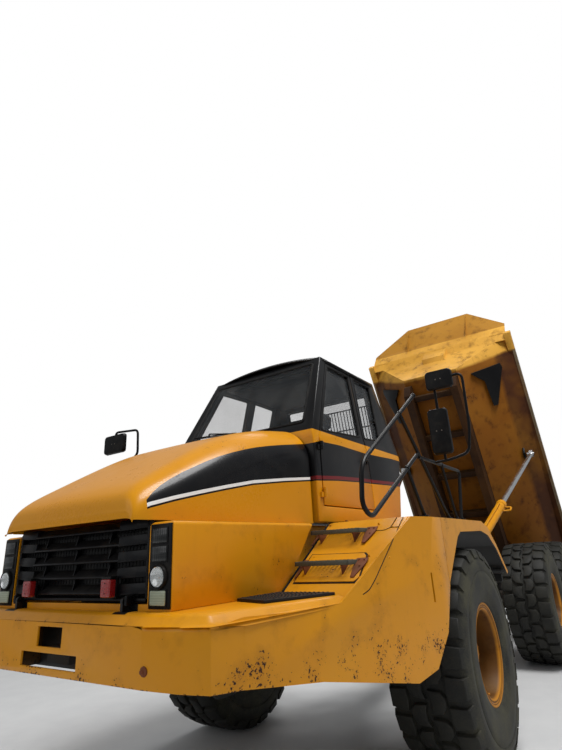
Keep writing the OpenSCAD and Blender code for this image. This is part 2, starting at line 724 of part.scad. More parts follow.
module rear_frame() vehicle() color(steel) {
    difference() {
        union() {
            translate([hitch_x - 1000, 0, osc_z]) rotate([0, 90, 0]) cylinder(r = osc_r, h = 570);
            both() side_plate(340, 340 + frame_t, [[-2150, 860], [-2150, 1200], [-3000, 1330],
                [-6900, 1330], [-6900, 1020], [-3300, 1020], [-2700, 860]]);
            block([-2200, -2130], [-380, 380], [830, 1200]);
            for (x = [-3100, -5350, -6850]) block([x - 60, x + 60], [-345, 345], [1050, 1300]);
            block([tow_rear_x - 80, -6800], [-120, 120], [1060, 1140]);
        }
        translate([hitch_x - 760, 0, osc_z]) rotate([0, 90, 0]) cylinder(r = osc_r - 39.5, h = 360);
        translate([tow_rear_x, 0, 1000]) cylinder(r = tow_bore_r, h = 200);
    }
    // hoist cylinder arms
    both() side_plate(hoist_pin[1] - 130, hoist_pin[1] - 85, [[hoist_pin[0] - 90, 1060],
        [hoist_pin[0] + 90, 1060], [hoist_pin[0] + 60, hoist_pin[2] + 60],
        [hoist_pin[0] - 60, hoist_pin[2] + 60]]);
    both() block([hoist_pin[0] - 90, hoist_pin[0] + 90], [375, hoist_pin[1] - 85], [1040, 1150]);
    both() cross_pin(hoist_pin, eye_pin_r, hoist_pin[1] - 130, hoist_pin[1] + 60);
    both() translate(hoist_pin) sphere(r = ball_r);
    // body pivot
    cross_pin([bed_px, 0, bed_pivot_z], 45, -560, 560);
    both() side_plate(340, 400, [[-6900, 1300], [-6500, 1300], [-6620, bed_pivot_z + 60],
        [-6780, bed_pivot_z + 60]]);
    // axle seats
    difference() {
        both() for (x = [middle_x, rear_x]) block([x - 150, x + 150], [300, 385], [axle_z + 40, 1030]);
        for (x = [middle_x, rear_x]) translate([x, 600, axle_z]) rotate([90, 0, 0])
            cylinder(r = 115.3, h = 1200);
    }
    // hangers of the walking beams
    both() side_plate(340, 380, [[-5550, 1030], [-5250, 1030], [-5320, 780], [-5480, 780]]);
}

module walking_beams() vehicle() color(steel) both() {
    side_plate(520, 620, [[middle_x + 90, 670], [rear_x - 90, 670], [rear_x - 90, axle_z - 115],
        [rear_x + 100, axle_z - 115], [-5500, 940], [-5300, 940], [middle_x - 100, axle_z - 115],
        [middle_x + 90, axle_z - 115]]);
    cross_pin([-5400, 0, 850], 60, 380, 640);
}

// Dump body
// side outline: foot of the front wall, its top, the tail and the kick of the floor
function bed_outline(t, up, top) = [[floor_front_x - t, floor_z + up],
    [floor_front_x - t + wall_lean * (bed_front_z + top - floor_z), bed_front_z + top],
    [bed_tail_x - up, bed_tail_z + top], [bed_tail_x - up, tail_floor_z + up], [floor_break_x, floor_z + up]];

// left half of the cross-section, run on below the floor and above the rails
function bed_section(t, up) = [[floor_y - 1.45 * t - 93, floor_z - 86], [fold_y - 1.45 * t, fold_z],
    [side_y - t, bed_tail_z], [side_y - t, 3000]];

module bed_solid(t, up, top) difference() {
    intersection() {
        side_plate(-2000, 2000, bed_outline(t, up, top));
        cross_plate(-8200, -1500, concat(bed_section(t, up),
            [for (i = [3:-1:0]) [-bed_section(t, up)[i][0], bed_section(t, up)[i][1]]]));
    }
    // cut-off front corners
    both() along([floor_front_x, floor_y, floor_z], [floor_front_x, floor_y, floor_z] + chamfer_dir)
        translate([-2500, -2500, -t]) cube(5000);
}

// a bent plate seen from the side, from point p to point q
module lean_plate(y0, y1, p, q, t) side_plate(y0, y1, [p, q, [q[0] - t, q[1] + t / 3], [p[0] - t, p[1] + t / 3]]);

module dump_body() vehicle() color(yellow) bed_pose() {
    difference() {
        bed_solid(0, 0, 0);
        bed_solid(bed_t, floor_t, 60);
    }
    // top rails
    both() side_plate(bed_y - rail_h, bed_y, [[bed_front_x, bed_front_z],
        [bed_front_x - 20, bed_front_z - rail_h], [bed_tail_x, bed_tail_z - rail_h], [bed_tail_x, bed_tail_z]]);
    // lip and light band across the front
    lean_plate(-band_y, band_y, wall_top, lip_end, bed_t);
    lean_plate(-band_y, band_y, lip_end, band_end, bed_t);
    both() lean_plate(band_y - 20, bed_y, wall_top + [95, 65], lip_end, 60);
    // corner gussets level with the top of the sides
    both() translate([0, 0, bed_front_z - bed_t]) linear_extrude(bed_t) polygon([
        [floor_front_x - 20, side_y - 10], [wall_top[0], 1300], [wall_top[0], 1200], [lip_end[0] - 20, 1200],
        [lip_end[0] - 20, side_y - 10]]);
    // spill guard with two ribs
    intersection() {
        lean_plate(-band_y, band_y, band_end, guard_end, bed_t);
        cross_plate(-2300, -1500, [[-band_y, band_z - 20], [-band_y, band_z + 4], [-guard_y, guard_z + 20],
            [guard_y, guard_z + 20], [band_y, band_z + 4], [band_y, band_z - 20]]);
    }
    both() side_plate(guard_y - 14, guard_y, [band_end - [6, 0], guard_end - [8, 12],
        band_end + [90, 20], lip_end + [60, 90]]);
    // box in the middle of the front wall
    side_plate(-250, 250, [[-2480, 2330], [-2300, 2400], lip_end - [30, 30], wall_top]);
}

// hoist brackets and tapered front beams under the sloping plates
module body_brackets() vehicle() color(black) bed_pose() both() {
    side_plate(hoist_eye_low[1] - 150, hoist_eye_low[1] - 110, [
        [hoist_eye_low[0] - 60, hoist_eye_low[2] - 70], [hoist_eye_low[0] + 60, hoist_eye_low[2] - 70],
        [hoist_eye_low[0] + 140, slope_at(hoist_eye_low[1] - 150) - 0.3],
        [hoist_eye_low[0] - 140, slope_at(hoist_eye_low[1] - 150) - 0.3]]);
    intersection() {
        linear_extrude(2600) polygon([[-2760, 800], [-2760, 1320], [-2860, 1340], [-3580, 1098],
            [-3570, 1022], [-3000, 990], [-2900, 900]]);
        cross_plate(-3700, -2500, [[700, slope_at(700) - 0.3], [1400, slope_at(1400) - 0.3],
            [1400, slope_at(1400) - 70], [700, slope_at(700) - 70]]);
    }
}

beam_y = [420, 560];

module body_beams() vehicle() color(yellow) bed_pose() {
    both() difference() {
        side_plate(beam_y[0], beam_y[1], [[-2700, 1560], [-2700, floor_z], [floor_break_x, floor_z],
            [-7100, floor_at(-7100)], [-6900, 1480], [-6800, 1360], [-6600, 1360], [-6500, 1400], [-2850, 1400]]);
        translate([bed_px, 400, bed_pivot_z]) rotate([-90, 0, 0]) cylinder(r = 45.3, h = 200);
    }
    for (x = [-3000, -3900, -4800, -5700])
        block([x - 60, x + 60], [-beam_y[0] - 5, beam_y[0] + 5], [floor_z - 140, floor_z]);
}

// Cylinders
// spherical bearing in the foot of a hoist cylinder, which lets it lean outwards as it lifts
ball_r = 50;
// barrel end measured from its pin, and rod length
hoist_barrel_end = 2450;
hoist_rod_l = 2600;

module eye(r, w) rotate([-90, 0, 0]) translate([0, 0, -w / 2]) cylinder(r = r, h = w);

module hoist_barrel() color(yellow) {
    difference() {
        union() {
            translate(hoist_pin) eye(85, 70);
            along(hoist_pin, hoist_eye) translate([0, 0, 65]) cylinder(r = hoist_r, h = hoist_barrel_end - 65);
        }
        cross_pin(hoist_pin, eye_pin_r + 9, hoist_pin[1] - 200, hoist_pin[1] + 200);
        translate(hoist_pin) sphere(r = ball_r + 0.5);
        along(hoist_pin, hoist_eye) translate([0, 0, 120]) cylinder(r = hoist_rod_r + 0.5, h = 2600);
    }
}
module hoist_barrel_left() vehicle() hoist_barrel();
module hoist_barrel_right() vehicle() mirror([0, 1, 0]) hoist_barrel();

module hoist_rod() color(chrome) {
    translate(hoist_eye) eye(80, 70);
    along(hoist_eye, hoist_pin) cylinder(r = hoist_rod_r, h = hoist_rod_l);
    cross_pin(hoist_eye, eye_pin_r, hoist_eye[1] - 85, hoist_eye[1] + 55);
}
module hoist_rod_left() vehicle() hoist_rod();
module hoist_rod_right() vehicle() mirror([0, 1, 0]) hoist_rod();

module steer_barrel() color(yellow) difference() {
    union() {
        translate(steer_pin) translate([0, 0, -30]) cylinder(r = 60, h = 60);
        along(steer_pin, steer_eye) translate([0, 0, 40]) cylinder(r = steer_r, h = 900);
    }
    translate(steer_pin) translate([0, 0, -100]) cylinder(r = eye_pin_r + 1, h = 200);
    along(steer_pin, steer_eye) translate([0, 0, 110]) cylinder(r = steer_rod_r + 1, h = 900);
}
module steer_barrel_left() vehicle() steer_barrel();
module steer_barrel_right() vehicle() mirror([0, 1, 0]) steer_barrel();

module steer_rod() color(chrome) {
    translate(steer_eye) translate([0, 0, -30]) cylinder(r = 58, h = 60);
    along(steer_eye, steer_pin) cylinder(r = steer_rod_r, h = 1060);
    translate(steer_eye) translate([0, 0, -54]) cylinder(r = eye_pin_r, h = 100);
}
module steer_rod_left() vehicle() steer_rod();
module steer_rod_right() vehicle() mirror([0, 1, 0]) steer_rod();

front_frame();
frame_brackets();
front_axle();
engine();
bumper();
fenders();
lamp_boxes();
headlamps();
marker_lamps();
steps();
cab_shell();
cab_glass();
cab_interior();
mirrors();
handrails();
rear_louvre();
hood();
grille();
cab_door();
door_glass();
hitch();
steer_ears();
rear_frame();
middle_axle();
rear_axle();
walking_beams();
dump_body();
body_beams();
body_brackets();
tyre_fl();
tyre_fr();
tyre_ml();
tyre_mr();
tyre_rl();
tyre_rr();
rim_fl();
rim_fr();
rim_ml();
rim_mr();
rim_rl();
rim_rr();
hoist_barrel_left();
hoist_barrel_right();
hoist_rod_left();
hoist_rod_right();
steer_barrel_left();
steer_barrel_right();
steer_rod_left();
steer_rod_right();
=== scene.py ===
"""Dresses the articulated dump truck: paint, rubber, glass and the fitted detail on its solids."""

import json
import logging
import math
from dataclasses import dataclass, field
from enum import Enum
from typing import Callable, Iterable, Sequence

import bmesh
import bpy
from mathutils import Matrix, Vector
from mathutils.bvhtree import BVHTree

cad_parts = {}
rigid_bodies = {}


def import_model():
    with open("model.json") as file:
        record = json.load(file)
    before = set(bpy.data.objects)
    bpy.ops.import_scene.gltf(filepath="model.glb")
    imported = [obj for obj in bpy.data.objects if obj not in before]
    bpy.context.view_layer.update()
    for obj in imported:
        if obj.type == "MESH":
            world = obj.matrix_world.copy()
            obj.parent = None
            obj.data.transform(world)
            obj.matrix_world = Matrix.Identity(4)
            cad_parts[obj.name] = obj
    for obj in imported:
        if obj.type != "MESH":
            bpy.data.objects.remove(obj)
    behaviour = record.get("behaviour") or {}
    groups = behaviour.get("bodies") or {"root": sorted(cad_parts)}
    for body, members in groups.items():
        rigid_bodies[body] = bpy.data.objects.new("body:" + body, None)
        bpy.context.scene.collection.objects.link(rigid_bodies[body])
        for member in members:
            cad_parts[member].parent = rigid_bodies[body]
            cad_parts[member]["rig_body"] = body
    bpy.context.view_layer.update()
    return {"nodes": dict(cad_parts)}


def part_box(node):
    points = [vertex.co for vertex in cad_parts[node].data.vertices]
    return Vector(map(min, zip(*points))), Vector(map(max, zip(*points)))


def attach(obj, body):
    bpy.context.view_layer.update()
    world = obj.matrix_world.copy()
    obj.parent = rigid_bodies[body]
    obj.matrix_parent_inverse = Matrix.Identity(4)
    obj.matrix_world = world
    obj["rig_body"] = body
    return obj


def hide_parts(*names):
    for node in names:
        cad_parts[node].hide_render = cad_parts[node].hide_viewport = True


LOG = logging.getLogger("hauler")
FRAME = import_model()

Colour = tuple[float, float, float]
Curve = Sequence[tuple[float, float]]

# where the middle of the front axle is in the model's frame
SHIFT = sum(corner[0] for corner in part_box("tyre_fl")) / 2
SIDE = sum(corner[1] for node in ("tyre_fl", "tyre_fr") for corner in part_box(node)) / 4
# the raised body's pivot (x, z) and how far it is tipped
BED_PIVOT = (-6.7, 1.42)
BED_TILT = math.radians(62)
# the tyres and the height of their axles
TYRE_RADIUS = 0.875
AXLES = {"f": 0.0, "m": -4.415, "r": -6.381}
# ahead of this place only the nose, the grille and the bumper's front are left
NOSE_X = 3.02
AMBER = (0.66, 0.265, 0.002)
COAL = (0.0045, 0.0045, 0.005)
# near black painted shade for recesses
RECESS_SHADE = (0.010, 0.009, 0.008)
TAB_BLACK = (0.008, 0.008, 0.008)


def at(x: float, y: float, z: float) -> Vector:
    """A point given from the middle of the front axle, in metres, in the model's frame."""
    return Vector((x + SHIFT, y + SIDE, z))


class Wire:
    """A shader socket that adds Math nodes when it is used in an expression."""

    def __init__(self, bench: "Bench", socket: bpy.types.NodeSocket) -> None:
        """Keeps the socket and the bench that owns its tree."""
        self.bench = bench
        self.socket = socket

    def maths(self, operation: str, *values: object, clamp: bool = False) -> "Wire":
        """Adds one Math node.

        Args:
            operation: The Math node's operation.
            values: Its inputs, wires or numbers.
            clamp: Whether the result is kept between 0 and 1.

        Returns:
            The node's result.
        """
        settings = {"operation": operation, "use_clamp": clamp}
        return self.bench.node("ShaderNodeMath", settings, dict(enumerate(values)))

    def __add__(self, other: object) -> "Wire":
        """Adds."""
        return self.maths("ADD", self, other)

    def __sub__(self, other: object) -> "Wire":
        """Subtracts."""
        return self.maths("SUBTRACT", self, other)

    def __rsub__(self, other: object) -> "Wire":
        """Subtracts from a number."""
        return self.maths("SUBTRACT", other, self)

    def __mul__(self, other: object) -> "Wire":
        """Multiplies."""
        return self.maths("MULTIPLY", self, other)

    def above(self, low: float, high: float) -> "Wire":
        """A soft step from 0 at low to 1 at high."""
        return self.maths("MULTIPLY", self - low, 1.0 / (high - low), clamp=True)

    def below(self, low: float, high: float) -> "Wire":
        """A soft step from 1 at low to 0 at high."""
        return 1.0 - self.above(low, high)

    def between(self, low: float, high: float, soft: float = 0.002) -> "Wire":
        """1 from low to high and 0 outside, with soft ends."""
        return self.above(low, low + soft) * self.below(high, high + soft)

    def larger(self, other: object) -> "Wire":
        """The larger of this and another value."""
        return self.maths("MAXIMUM", self, other)

    def smaller(self, other: object) -> "Wire":
        """The smaller of this and another value."""
        return self.maths("MINIMUM", self, other)

    def size(self) -> "Wire":
        """The value without its sign."""
        return self.maths("ABSOLUTE", self)


class Bench:
    """Builds the node tree of one material."""

    def __init__(self, name: str) -> None:
        """Starts an empty material with a Principled shader.

        Args:
            name: The material's name.
        """
        self.material = bpy.data.materials.new(name)
        self.material.use_nodes = True
        self.tree = self.material.node_tree
        self.tree.nodes.clear()
        self.shader = self.tree.nodes.new("ShaderNodeBsdfPrincipled")
        self.output = self.tree.nodes.new("ShaderNodeOutputMaterial")
        self.tree.links.new(self.shader.outputs["BSDF"], self.output.inputs["Surface"])
        self.place = self.node("ShaderNodeTexCoord", output="Object")

    def node(self, kind: str, settings: dict | None = None, values: dict | None = None,
             output: int | str = 0) -> Wire:
        """Adds any node.

        Args:
            kind: The node's type.
            settings: Its properties, set first; "stops" fills a colour ramp.
            values: Its inputs by name or number, as wires, numbers or colours.
            output: Which output is returned.

        Returns:
            The chosen output.
        """
        made = self.tree.nodes.new(kind)
        for name, value in (settings or {}).items():
            if name == "stops":
                self._fill_ramp(made.color_ramp, value)
            else:
                setattr(made, name, value)
        for key, value in (values or {}).items():
            self.feed(made.inputs[key], value)
        return Wire(self, made.outputs[output])

    def feed(self, socket: bpy.types.NodeSocket, value: object) -> None:
        """Links a wire to a socket, or sets the number or the colour on it."""
        if isinstance(value, Wire):
            self.tree.links.new(value.socket, socket)
        else:
            socket.default_value = (*value, 1.0) if socket.type == "RGBA" else value

    @staticmethod
    def _fill_ramp(ramp: bpy.types.ColorRamp, stops: Curve) -> None:
        """Sets a grey ramp's stops to (position, level) pairs."""
        while len(ramp.elements) < len(stops):
            ramp.elements.new(0.5)
        for element, (position, level) in zip(ramp.elements, stops):
            element.position = position
            element.color = (level, level, level, 1.0)

    def noise(self, scale: float, detail: float = 4.0, rough: float = 0.55,
              stretch: tuple[float, float, float] = (1.0, 1.0, 1.0)) -> Wire:
        """Fractal noise on the object's own coordinates.

        Args:
            scale: Lumps per metre.
            detail: Octaves.
            rough: How strong the fine octaves are.
            stretch: Scale of each axis, small where the pattern is drawn out.

        Returns:
            The noise, about 0.3 to 0.7.
        """
        where = self.node("ShaderNodeMapping", None, {"Vector": self.place, "Scale": stretch})
        return self.node("ShaderNodeTexNoise", None, {"Vector": where, "Scale": scale, "Detail": detail,
                                                      "Roughness": rough})

    def cells(self, scale: float, stretch: tuple[float, float, float] = (1.0, 1.0, 1.0)) -> Wire:
        """Distance to the nearest point of a scatter, for chips and grit."""
        where = self.node("ShaderNodeMapping", None, {"Vector": self.place, "Scale": stretch})
        return self.node("ShaderNodeTexVoronoi", None, {"Vector": where, "Scale": scale})

    def waves(self, direction: str, scale: float, distortion: float = 0.0) -> Wire:
        """Even ribs across a direction, for lenses and cloth."""
        return self.node("ShaderNodeTexWave", {"bands_direction": direction},
                         {"Vector": self.place, "Scale": scale, "Distortion": distortion}, "Fac")

    def axis(self, name: str) -> Wire:
        """One coordinate of the place, X, Y or Z, in metres."""
        return self.node("ShaderNodeSeparateXYZ", None, {0: self.place}, name)

    def ahead(self) -> Wire:
        """How far the place is ahead of the front axle, in metres."""
        return self.axis("X") - SHIFT

    def aside(self) -> Wire:
        """How far the place is from the machine's middle, to either side, in metres."""
        return (self.axis("Y") - SIDE).size()

    def up(self) -> Wire:
        """How far the surface faces up, from -1 to 1."""
        normal = self.node("ShaderNodeNewGeometry", output="Normal")
        return self.node("ShaderNodeSeparateXYZ", None, {0: normal}, "Z")

    def mark(self, name: str) -> Wire:
        """A number painted on the mesh under a name."""
        return self.node("ShaderNodeAttribute", {"attribute_name": name}, output="Fac")

    def mix(self, amount: Wire | float, low: Wire | Colour, high: Wire | Colour,
            blend: str = "MIX") -> Wire:
        """Mixes two colours.

        Args:
            amount: Share of the second colour.
            low: The first colour.
            high: The second colour.
            blend: How they mix.

        Returns:
            The mixed colour.
        """
        made = self.tree.nodes.new("ShaderNodeMix")
        made.data_type = "RGBA"
        made.blend_type = blend
        made.clamp_factor = True
        for index, value in ((0, amount), (6, low), (7, high)):
            self.feed(made.inputs[index], value)
        return Wire(self, made.outputs[2])

    def curve(self, along: Wire, points: Curve) -> Wire:
        """A value that follows points (place, value) along a coordinate.

        Args:
            along: The coordinate.
            points: Places and values, with the places rising.

        Returns:
            The value at each place.
        """
        first, last = points[0][0], points[-1][0]
        low = min(value for _, value in points)
        high = max(value for _, value in points)
        stops = [((place - first) / (last - first), (value - low) / (high - low)) for place, value in points]
        share = self.node("ShaderNodeValToRGB", {"stops": stops},
                          {0: (along - first) * (1.0 / (last - first))})
        return share * (high - low) + low

    def finish(self, colour: Wire | Colour, rough: Wire | float, metal: Wire | float = 0.0,
               height: Wire | None = None, depth: float = 0.001, **sockets: object) -> bpy.types.Material:
        """Joins the colour, gloss and relief to the shader.

        Args:
            colour: Base colour.
            rough: Roughness.
            metal: How metallic it is.
            height: Relief, from 0 to 1.
            depth: Height of the relief in metres.
            sockets: Constants of other sockets, by name with _ for a space.

        Returns:
            The finished material.
        """
        fields = {"Base Color": colour, "Roughness": rough, "Metallic": metal}
        fields.update({name.replace("_", " "): value for name, value in sockets.items()})
        if height is not None:
            fields["Normal"] = self.node("ShaderNodeBump", None, {"Height": height, "Distance": depth,
                                                                  "Strength": 1.0}, "Normal")
        for name, value in fields.items():
            self.feed(self.shader.inputs[name], value)
        return self.material


class Wear(Enum):
    """How hard a paint has been used."""

    CLEAN = 0.15
    ROAD = 0.5
    LOAD = 1.0


@dataclass(frozen=True)
class Paint:
    """Machine paint with road dust, faded patches, chips, rust and optional painted shade."""

    name: str
    colour: Colour
    wear: Wear = Wear.ROAD
    rough: float = 0.36
    coat: float = 0.25
    fade: Colour = (0.74, 0.37, 0.025)
    grime: Colour = (0.16, 0.075, 0.015)
    streaks: float = 0.0
    scuffs: float = 0.3
    shine: float = 0.22
    # painted shade on the faces that point down
    under: Colour | None = None
    foot_z: float = 0.0
    # painted shade in recesses: the limits of the inside faces that are painted near black
    shaded_recess: tuple[float, float, float] | None = None
    # painted shade with rust, where the mesh is marked
    deep: Colour | None = None
    tabs: tuple[float, float, float] | None = None

    def layers(self, bench: Bench, base: Wire | Colour | None = None) -> tuple[Wire, Wire, Wire]:
        """Lays the paint, fade, grime and rust over each other.

        Args:
            bench: The material's bench.
            base: The clean colour, if not the paint's own.

        Returns:
            The colour, the roughness and the relief.
        """
        use = self.wear.value
        soft = bench.noise(1.1, 3.0)
        patch = bench.noise(5.0, 6.0, 0.6)
        fine = bench.noise(60.0, 5.0, 0.6)
        colour = bench.mix(soft.above(0.44, 0.70) * (0.40 * use + 0.05), base or self.colour, self.fade)
        colour = bench.mix(patch.above(0.52, 0.70) * (0.45 * use), colour, self.grime, "MULTIPLY")
        # run-off marks drawn down the plates
        runs = bench.noise(9.0, 5.0, 0.65, (1.0, 1.0, 0.07))
        colour = bench.mix(runs.above(0.58, 0.74) * (0.12 * use + self.streaks), colour, self.grime)
        # chips that show primer and rust, most along the worn edges
        edge = bench.mark("wear")
        zone = bench.noise(1.6, 3.0).above(0.50, 0.62) * self.scuffs
        if self.foot_z:
            zone = zone + bench.axis("Z").below(self.foot_z, self.foot_z + 0.14) * 0.9
        chips = (patch * 0.45 + fine * 0.55 + edge * 0.10 * use + zone * 0.07).above(0.640, 0.665)
        rust_tone = bench.mix(fine.above(0.4, 0.6), (0.12, 0.030, 0.012), (0.030, 0.011, 0.007))
        rust = chips * min(1.0, 0.5 + use)
        colour = bench.mix(rust, colour, rust_tone)
        # dust that settles on what faces up and near the ground
        low = bench.axis("Z").below(0.9, 1.7)
        dust = (bench.up().above(0.6, 1.0) * 0.16 + low * 0.07) * bench.noise(9.0, 5.0).above(0.34, 0.75)
        colour = bench.mix(dust * (0.3 + use), colour, (0.34, 0.22, 0.09))
        rough = (soft * 0.16 + fine * 0.10 + (self.rough - 0.12) + rust * 0.4 + dust * 0.5).smaller(0.95)
        height = fine * 0.10 + patch * 0.16 - rust * 0.35
        return colour, rough, height

    def build(self) -> bpy.types.Material:
        """Makes the material."""
        bench = Bench(self.name)
        base = None
        # painted shade with rust: where the mesh is marked, the base turns dark rusty brown
        if self.deep:
            base = bench.mix(bench.mark("deep"), self.colour, self.deep)
        colour, rough, height = self.layers(bench, base)
        if self.under:
            # painted shade: the faces that point down are painted near black
            colour = bench.mix(bench.up().below(-0.30, -0.15), colour, self.under)
        if self.shaded_recess:
            # painted shade: the inside faces, behind, between and below three limits, are painted near black
            behind, between, below = self.shaded_recess
            dark = bench.ahead().below(behind - 0.003, behind) * bench.aside().below(between, between + 0.002)
            dark = dark * bench.axis("Z").below(below, below + 0.002)
            colour = bench.mix(dark * 0.92, colour, RECESS_SHADE)
        if self.tabs:
            # hinge brackets: between two distances from the middle, above a height
            inner, outer, low = self.tabs
            tab = bench.aside().between(inner, outer) * bench.axis("Z").above(low, low + 0.002)
            colour = bench.mix(tab * bench.ahead().above(NOSE_X, NOSE_X + 0.002), colour, TAB_BLACK)
        return bench.finish(colour, rough, height=height, depth=0.0012, Coat_Weight=self.coat,
                            Coat_Roughness=0.18, Specular_IOR_Level=self.shine)


@dataclass(frozen=True)
class BandedPaint(Paint):
    """Paint with a dark band between two curves along the machine, and a thin stripe under it."""

    band: Colour = (0.004, 0.004, 0.005)
    stripe: Colour = (0.86, 0.86, 0.84)
    stripe_w: float = 0.022
    top: Curve = ((0.0, 0.0), (1.0, 1.0))
    foot: Curve = ((0.0, 0.0), (1.0, 1.0))
    half_width: float = 0.5
    tip: float = 3.075
    tab_z: float = 1.62
    dust: Colour = (0.30, 0.26, 0.20)
    above: Colour | None = None
    above_z: float = 9.0

    def build(self) -> bpy.types.Material:
        """Makes the material."""
        bench = Bench(self.name)
        x, y, z = bench.ahead(), bench.aside(), bench.axis("Z")
        top = bench.curve(x, self.top)
        foot = bench.curve(x, self.foot)
        side = y.above(self.half_width, self.half_width + 0.002) * x.below(self.tip, self.tip + 0.002)
        from_foot = z - foot
        band = (top - z).above(0.0, 0.0015) * from_foot.above(0.0, 0.0015) * side
        line = from_foot.between(0.0, self.stripe_w, 0.0012)
        shadow = from_foot.between(-0.012, 0.0, 0.0012) * side
        colour, rough, height = self.layers(bench)
        film = bench.noise(6.0, 5.0, 0.6).above(0.45, 0.80) * 0.02
        dark = bench.mix(film, self.band, self.dust)
        colour = bench.mix(band.larger(shadow), colour, dark)
        colour = bench.mix(line * side * band, colour, self.stripe)
        # the hinge brackets below the hood's skin are black
        tab = z.below(self.tab_z, self.tab_z + 0.002) * x.above(NOSE_X, NOSE_X + 0.002)
        colour = bench.mix(tab, colour, TAB_BLACK)
        if self.above:
            # the cab's frames above the band, and its inside, are black
            inside = y.below(0.760, 0.768) * x.above(-0.47, -0.46) * x.below(1.375, 1.380)
            black = z.above(self.above_z, self.above_z + 0.002).larger(inside)
            colour = bench.mix(black, colour, bench.mix(film, self.above, self.dust))
        return bench.finish(colour, rough, height=height, depth=0.0008, Coat_Weight=self.coat,
                            Coat_Roughness=0.10, Specular_IOR_Level=self.shine)


@dataclass(frozen=True)
class BodyPaint(Paint):
    """Paint of the load body: rusted brown below, with painted light on the front wall and guard, painted
    shade near black along the sides and a painted highlight along the top rail.
    """

    # painted light: the front wall and the guard are painted paler where they face the light
    front: Colour = (0.60, 0.31, 0.045)
    guard: Colour = (0.36, 0.165, 0.018)
    # painted shade along the sides
    edge: Colour = (0.040, 0.012, 0.005)
    wall: float = 4.10
    side: float = 1.22
    guard_z: float = 3.0
    # painted highlight: a pale line along the top rail
    rail: float = 1.590
    pale: Colour = (0.20, 0.155, 0.095)

    def build(self) -> bpy.types.Material:
        """Makes the material."""
        bench = Bench(self.name)
        x, y, z = bench.ahead(), bench.aside(), bench.axis("Z")
        # the place in the lowered body, along its floor and up from its pivot
        from_x, from_z = x - BED_PIVOT[0], z - BED_PIVOT[1]
        along = from_x * math.cos(BED_TILT) + from_z * math.sin(BED_TILT)
        high = from_z * math.cos(BED_TILT) - from_x * math.sin(BED_TILT) + BED_PIVOT[1]
        drift = bench.noise(2.3, 4.0) * 0.5 - 0.25
        below = (along + drift * 0.1).below(self.wall - 0.03, self.wall + 0.03)
        # where the painted shade along the sides goes
        outer = (y + drift * 0.25).above(self.side, self.side + 0.08) * below
        # painted light: the front wall, and above guard_z the guard, are painted paler where they face the
        # light
        clean = bench.mix(1.0 - below, self.colour, self.front)
        clean = bench.mix((high + drift * 0.03).above(self.guard_z, self.guard_z + 0.01), clean, self.guard)
        # painted shade: the strips along the sides are painted near black
        clean = bench.mix(outer * 0.9, clean, self.edge)
        # painted highlight along the top rail
        clean = bench.mix(y.above(self.rail, self.rail + 0.004) * below * 0.8, clean, self.pale)
        colour, rough, height = self.layers(bench, clean)
        return bench.finish(colour, rough, height=height, depth=0.0016, Coat_Weight=self.coat,
                            Specular_IOR_Level=self.shine)


@dataclass(frozen=True)
class Steel:
    """Oily, dusty chassis steel or bare rod."""

    name: str
    colour: Colour
    metal: float
    rough: float
    dirt: float

    def build(self) -> bpy.types.Material:
        """Makes the material."""
        bench = Bench(self.name)
        patch = bench.noise(6.0, 6.0, 0.62)
        fine = bench.noise(140.0, 4.0)
        dirt = (patch * 0.7 + bench.up() * 0.12 + fine * 0.2).above(0.42, 0.62) * self.dirt
        colour = bench.mix(fine.above(0.35, 0.65) * 0.35, self.colour, (0.02, 0.018, 0.016))
        colour = bench.mix(dirt, colour, (0.085, 0.062, 0.040))
        rough = patch * 0.3 + (self.rough - 0.1) + dirt * 0.4
        return bench.finish(colour, rough.smaller(0.95), (1.0 - dirt) * self.metal, patch * 0.4 + fine * 0.3,
                            0.0010 * (0.2 + self.dirt), Specular_IOR_Level=0.3)


@dataclass(frozen=True)
class Rubber:
    """Tyre rubber under dry clay dust."""

    name: str
    colour: Colour = (0.012, 0.012, 0.011)
    dust: Colour = (0.105, 0.098, 0.058)

    def build(self) -> bpy.types.Material:
        """Makes the material."""
        bench = Bench(self.name)
        patch = bench.noise(4.5, 6.0, 0.62)
        fine = bench.noise(85.0, 5.0, 0.65)
        tread = bench.mark("tread")
        film = (patch * 0.55 + fine * 0.45).above(0.40, 0.64)
        film = film * (0.58 - tread * 0.44)
        colour = bench.mix(film, self.colour, self.dust)
        cuts = bench.cells(26.0, (1.0, 0.4, 1.0)).below(0.03, 0.09)
        colour = bench.mix(cuts * 0.5, colour, (0.010, 0.010, 0.010))
        return bench.finish(colour, film * 0.25 + 0.62, height=fine * 0.5 + patch * 0.3 - cuts * 0.3,
                            depth=0.002, Specular_IOR_Level=0.28)


@dataclass(frozen=True)
class Plastic:
    """Moulded plastic or satin trim, with fine grain."""

    name: str
    colour: Colour
    rough: float = 0.42
    grain: float = 500.0
    coat: float = 0.0

    def build(self) -> bpy.types.Material:
        """Makes the material."""
        bench = Bench(self.name)
        fine = bench.noise(self.grain, 3.0)
        dust = bench.noise(11.0, 6.0, 0.6).above(0.48, 0.74) * 0.07 + bench.up().above(0.5, 1.0) * 0.04
        colour = bench.mix(dust, self.colour, (0.20, 0.17, 0.13))
        return bench.finish(colour, dust * 0.5 + fine * 0.1 + (self.rough - 0.05), height=fine, depth=0.0001,
                            Coat_Weight=self.coat, Coat_Roughness=0.08, Specular_IOR_Level=0.14)


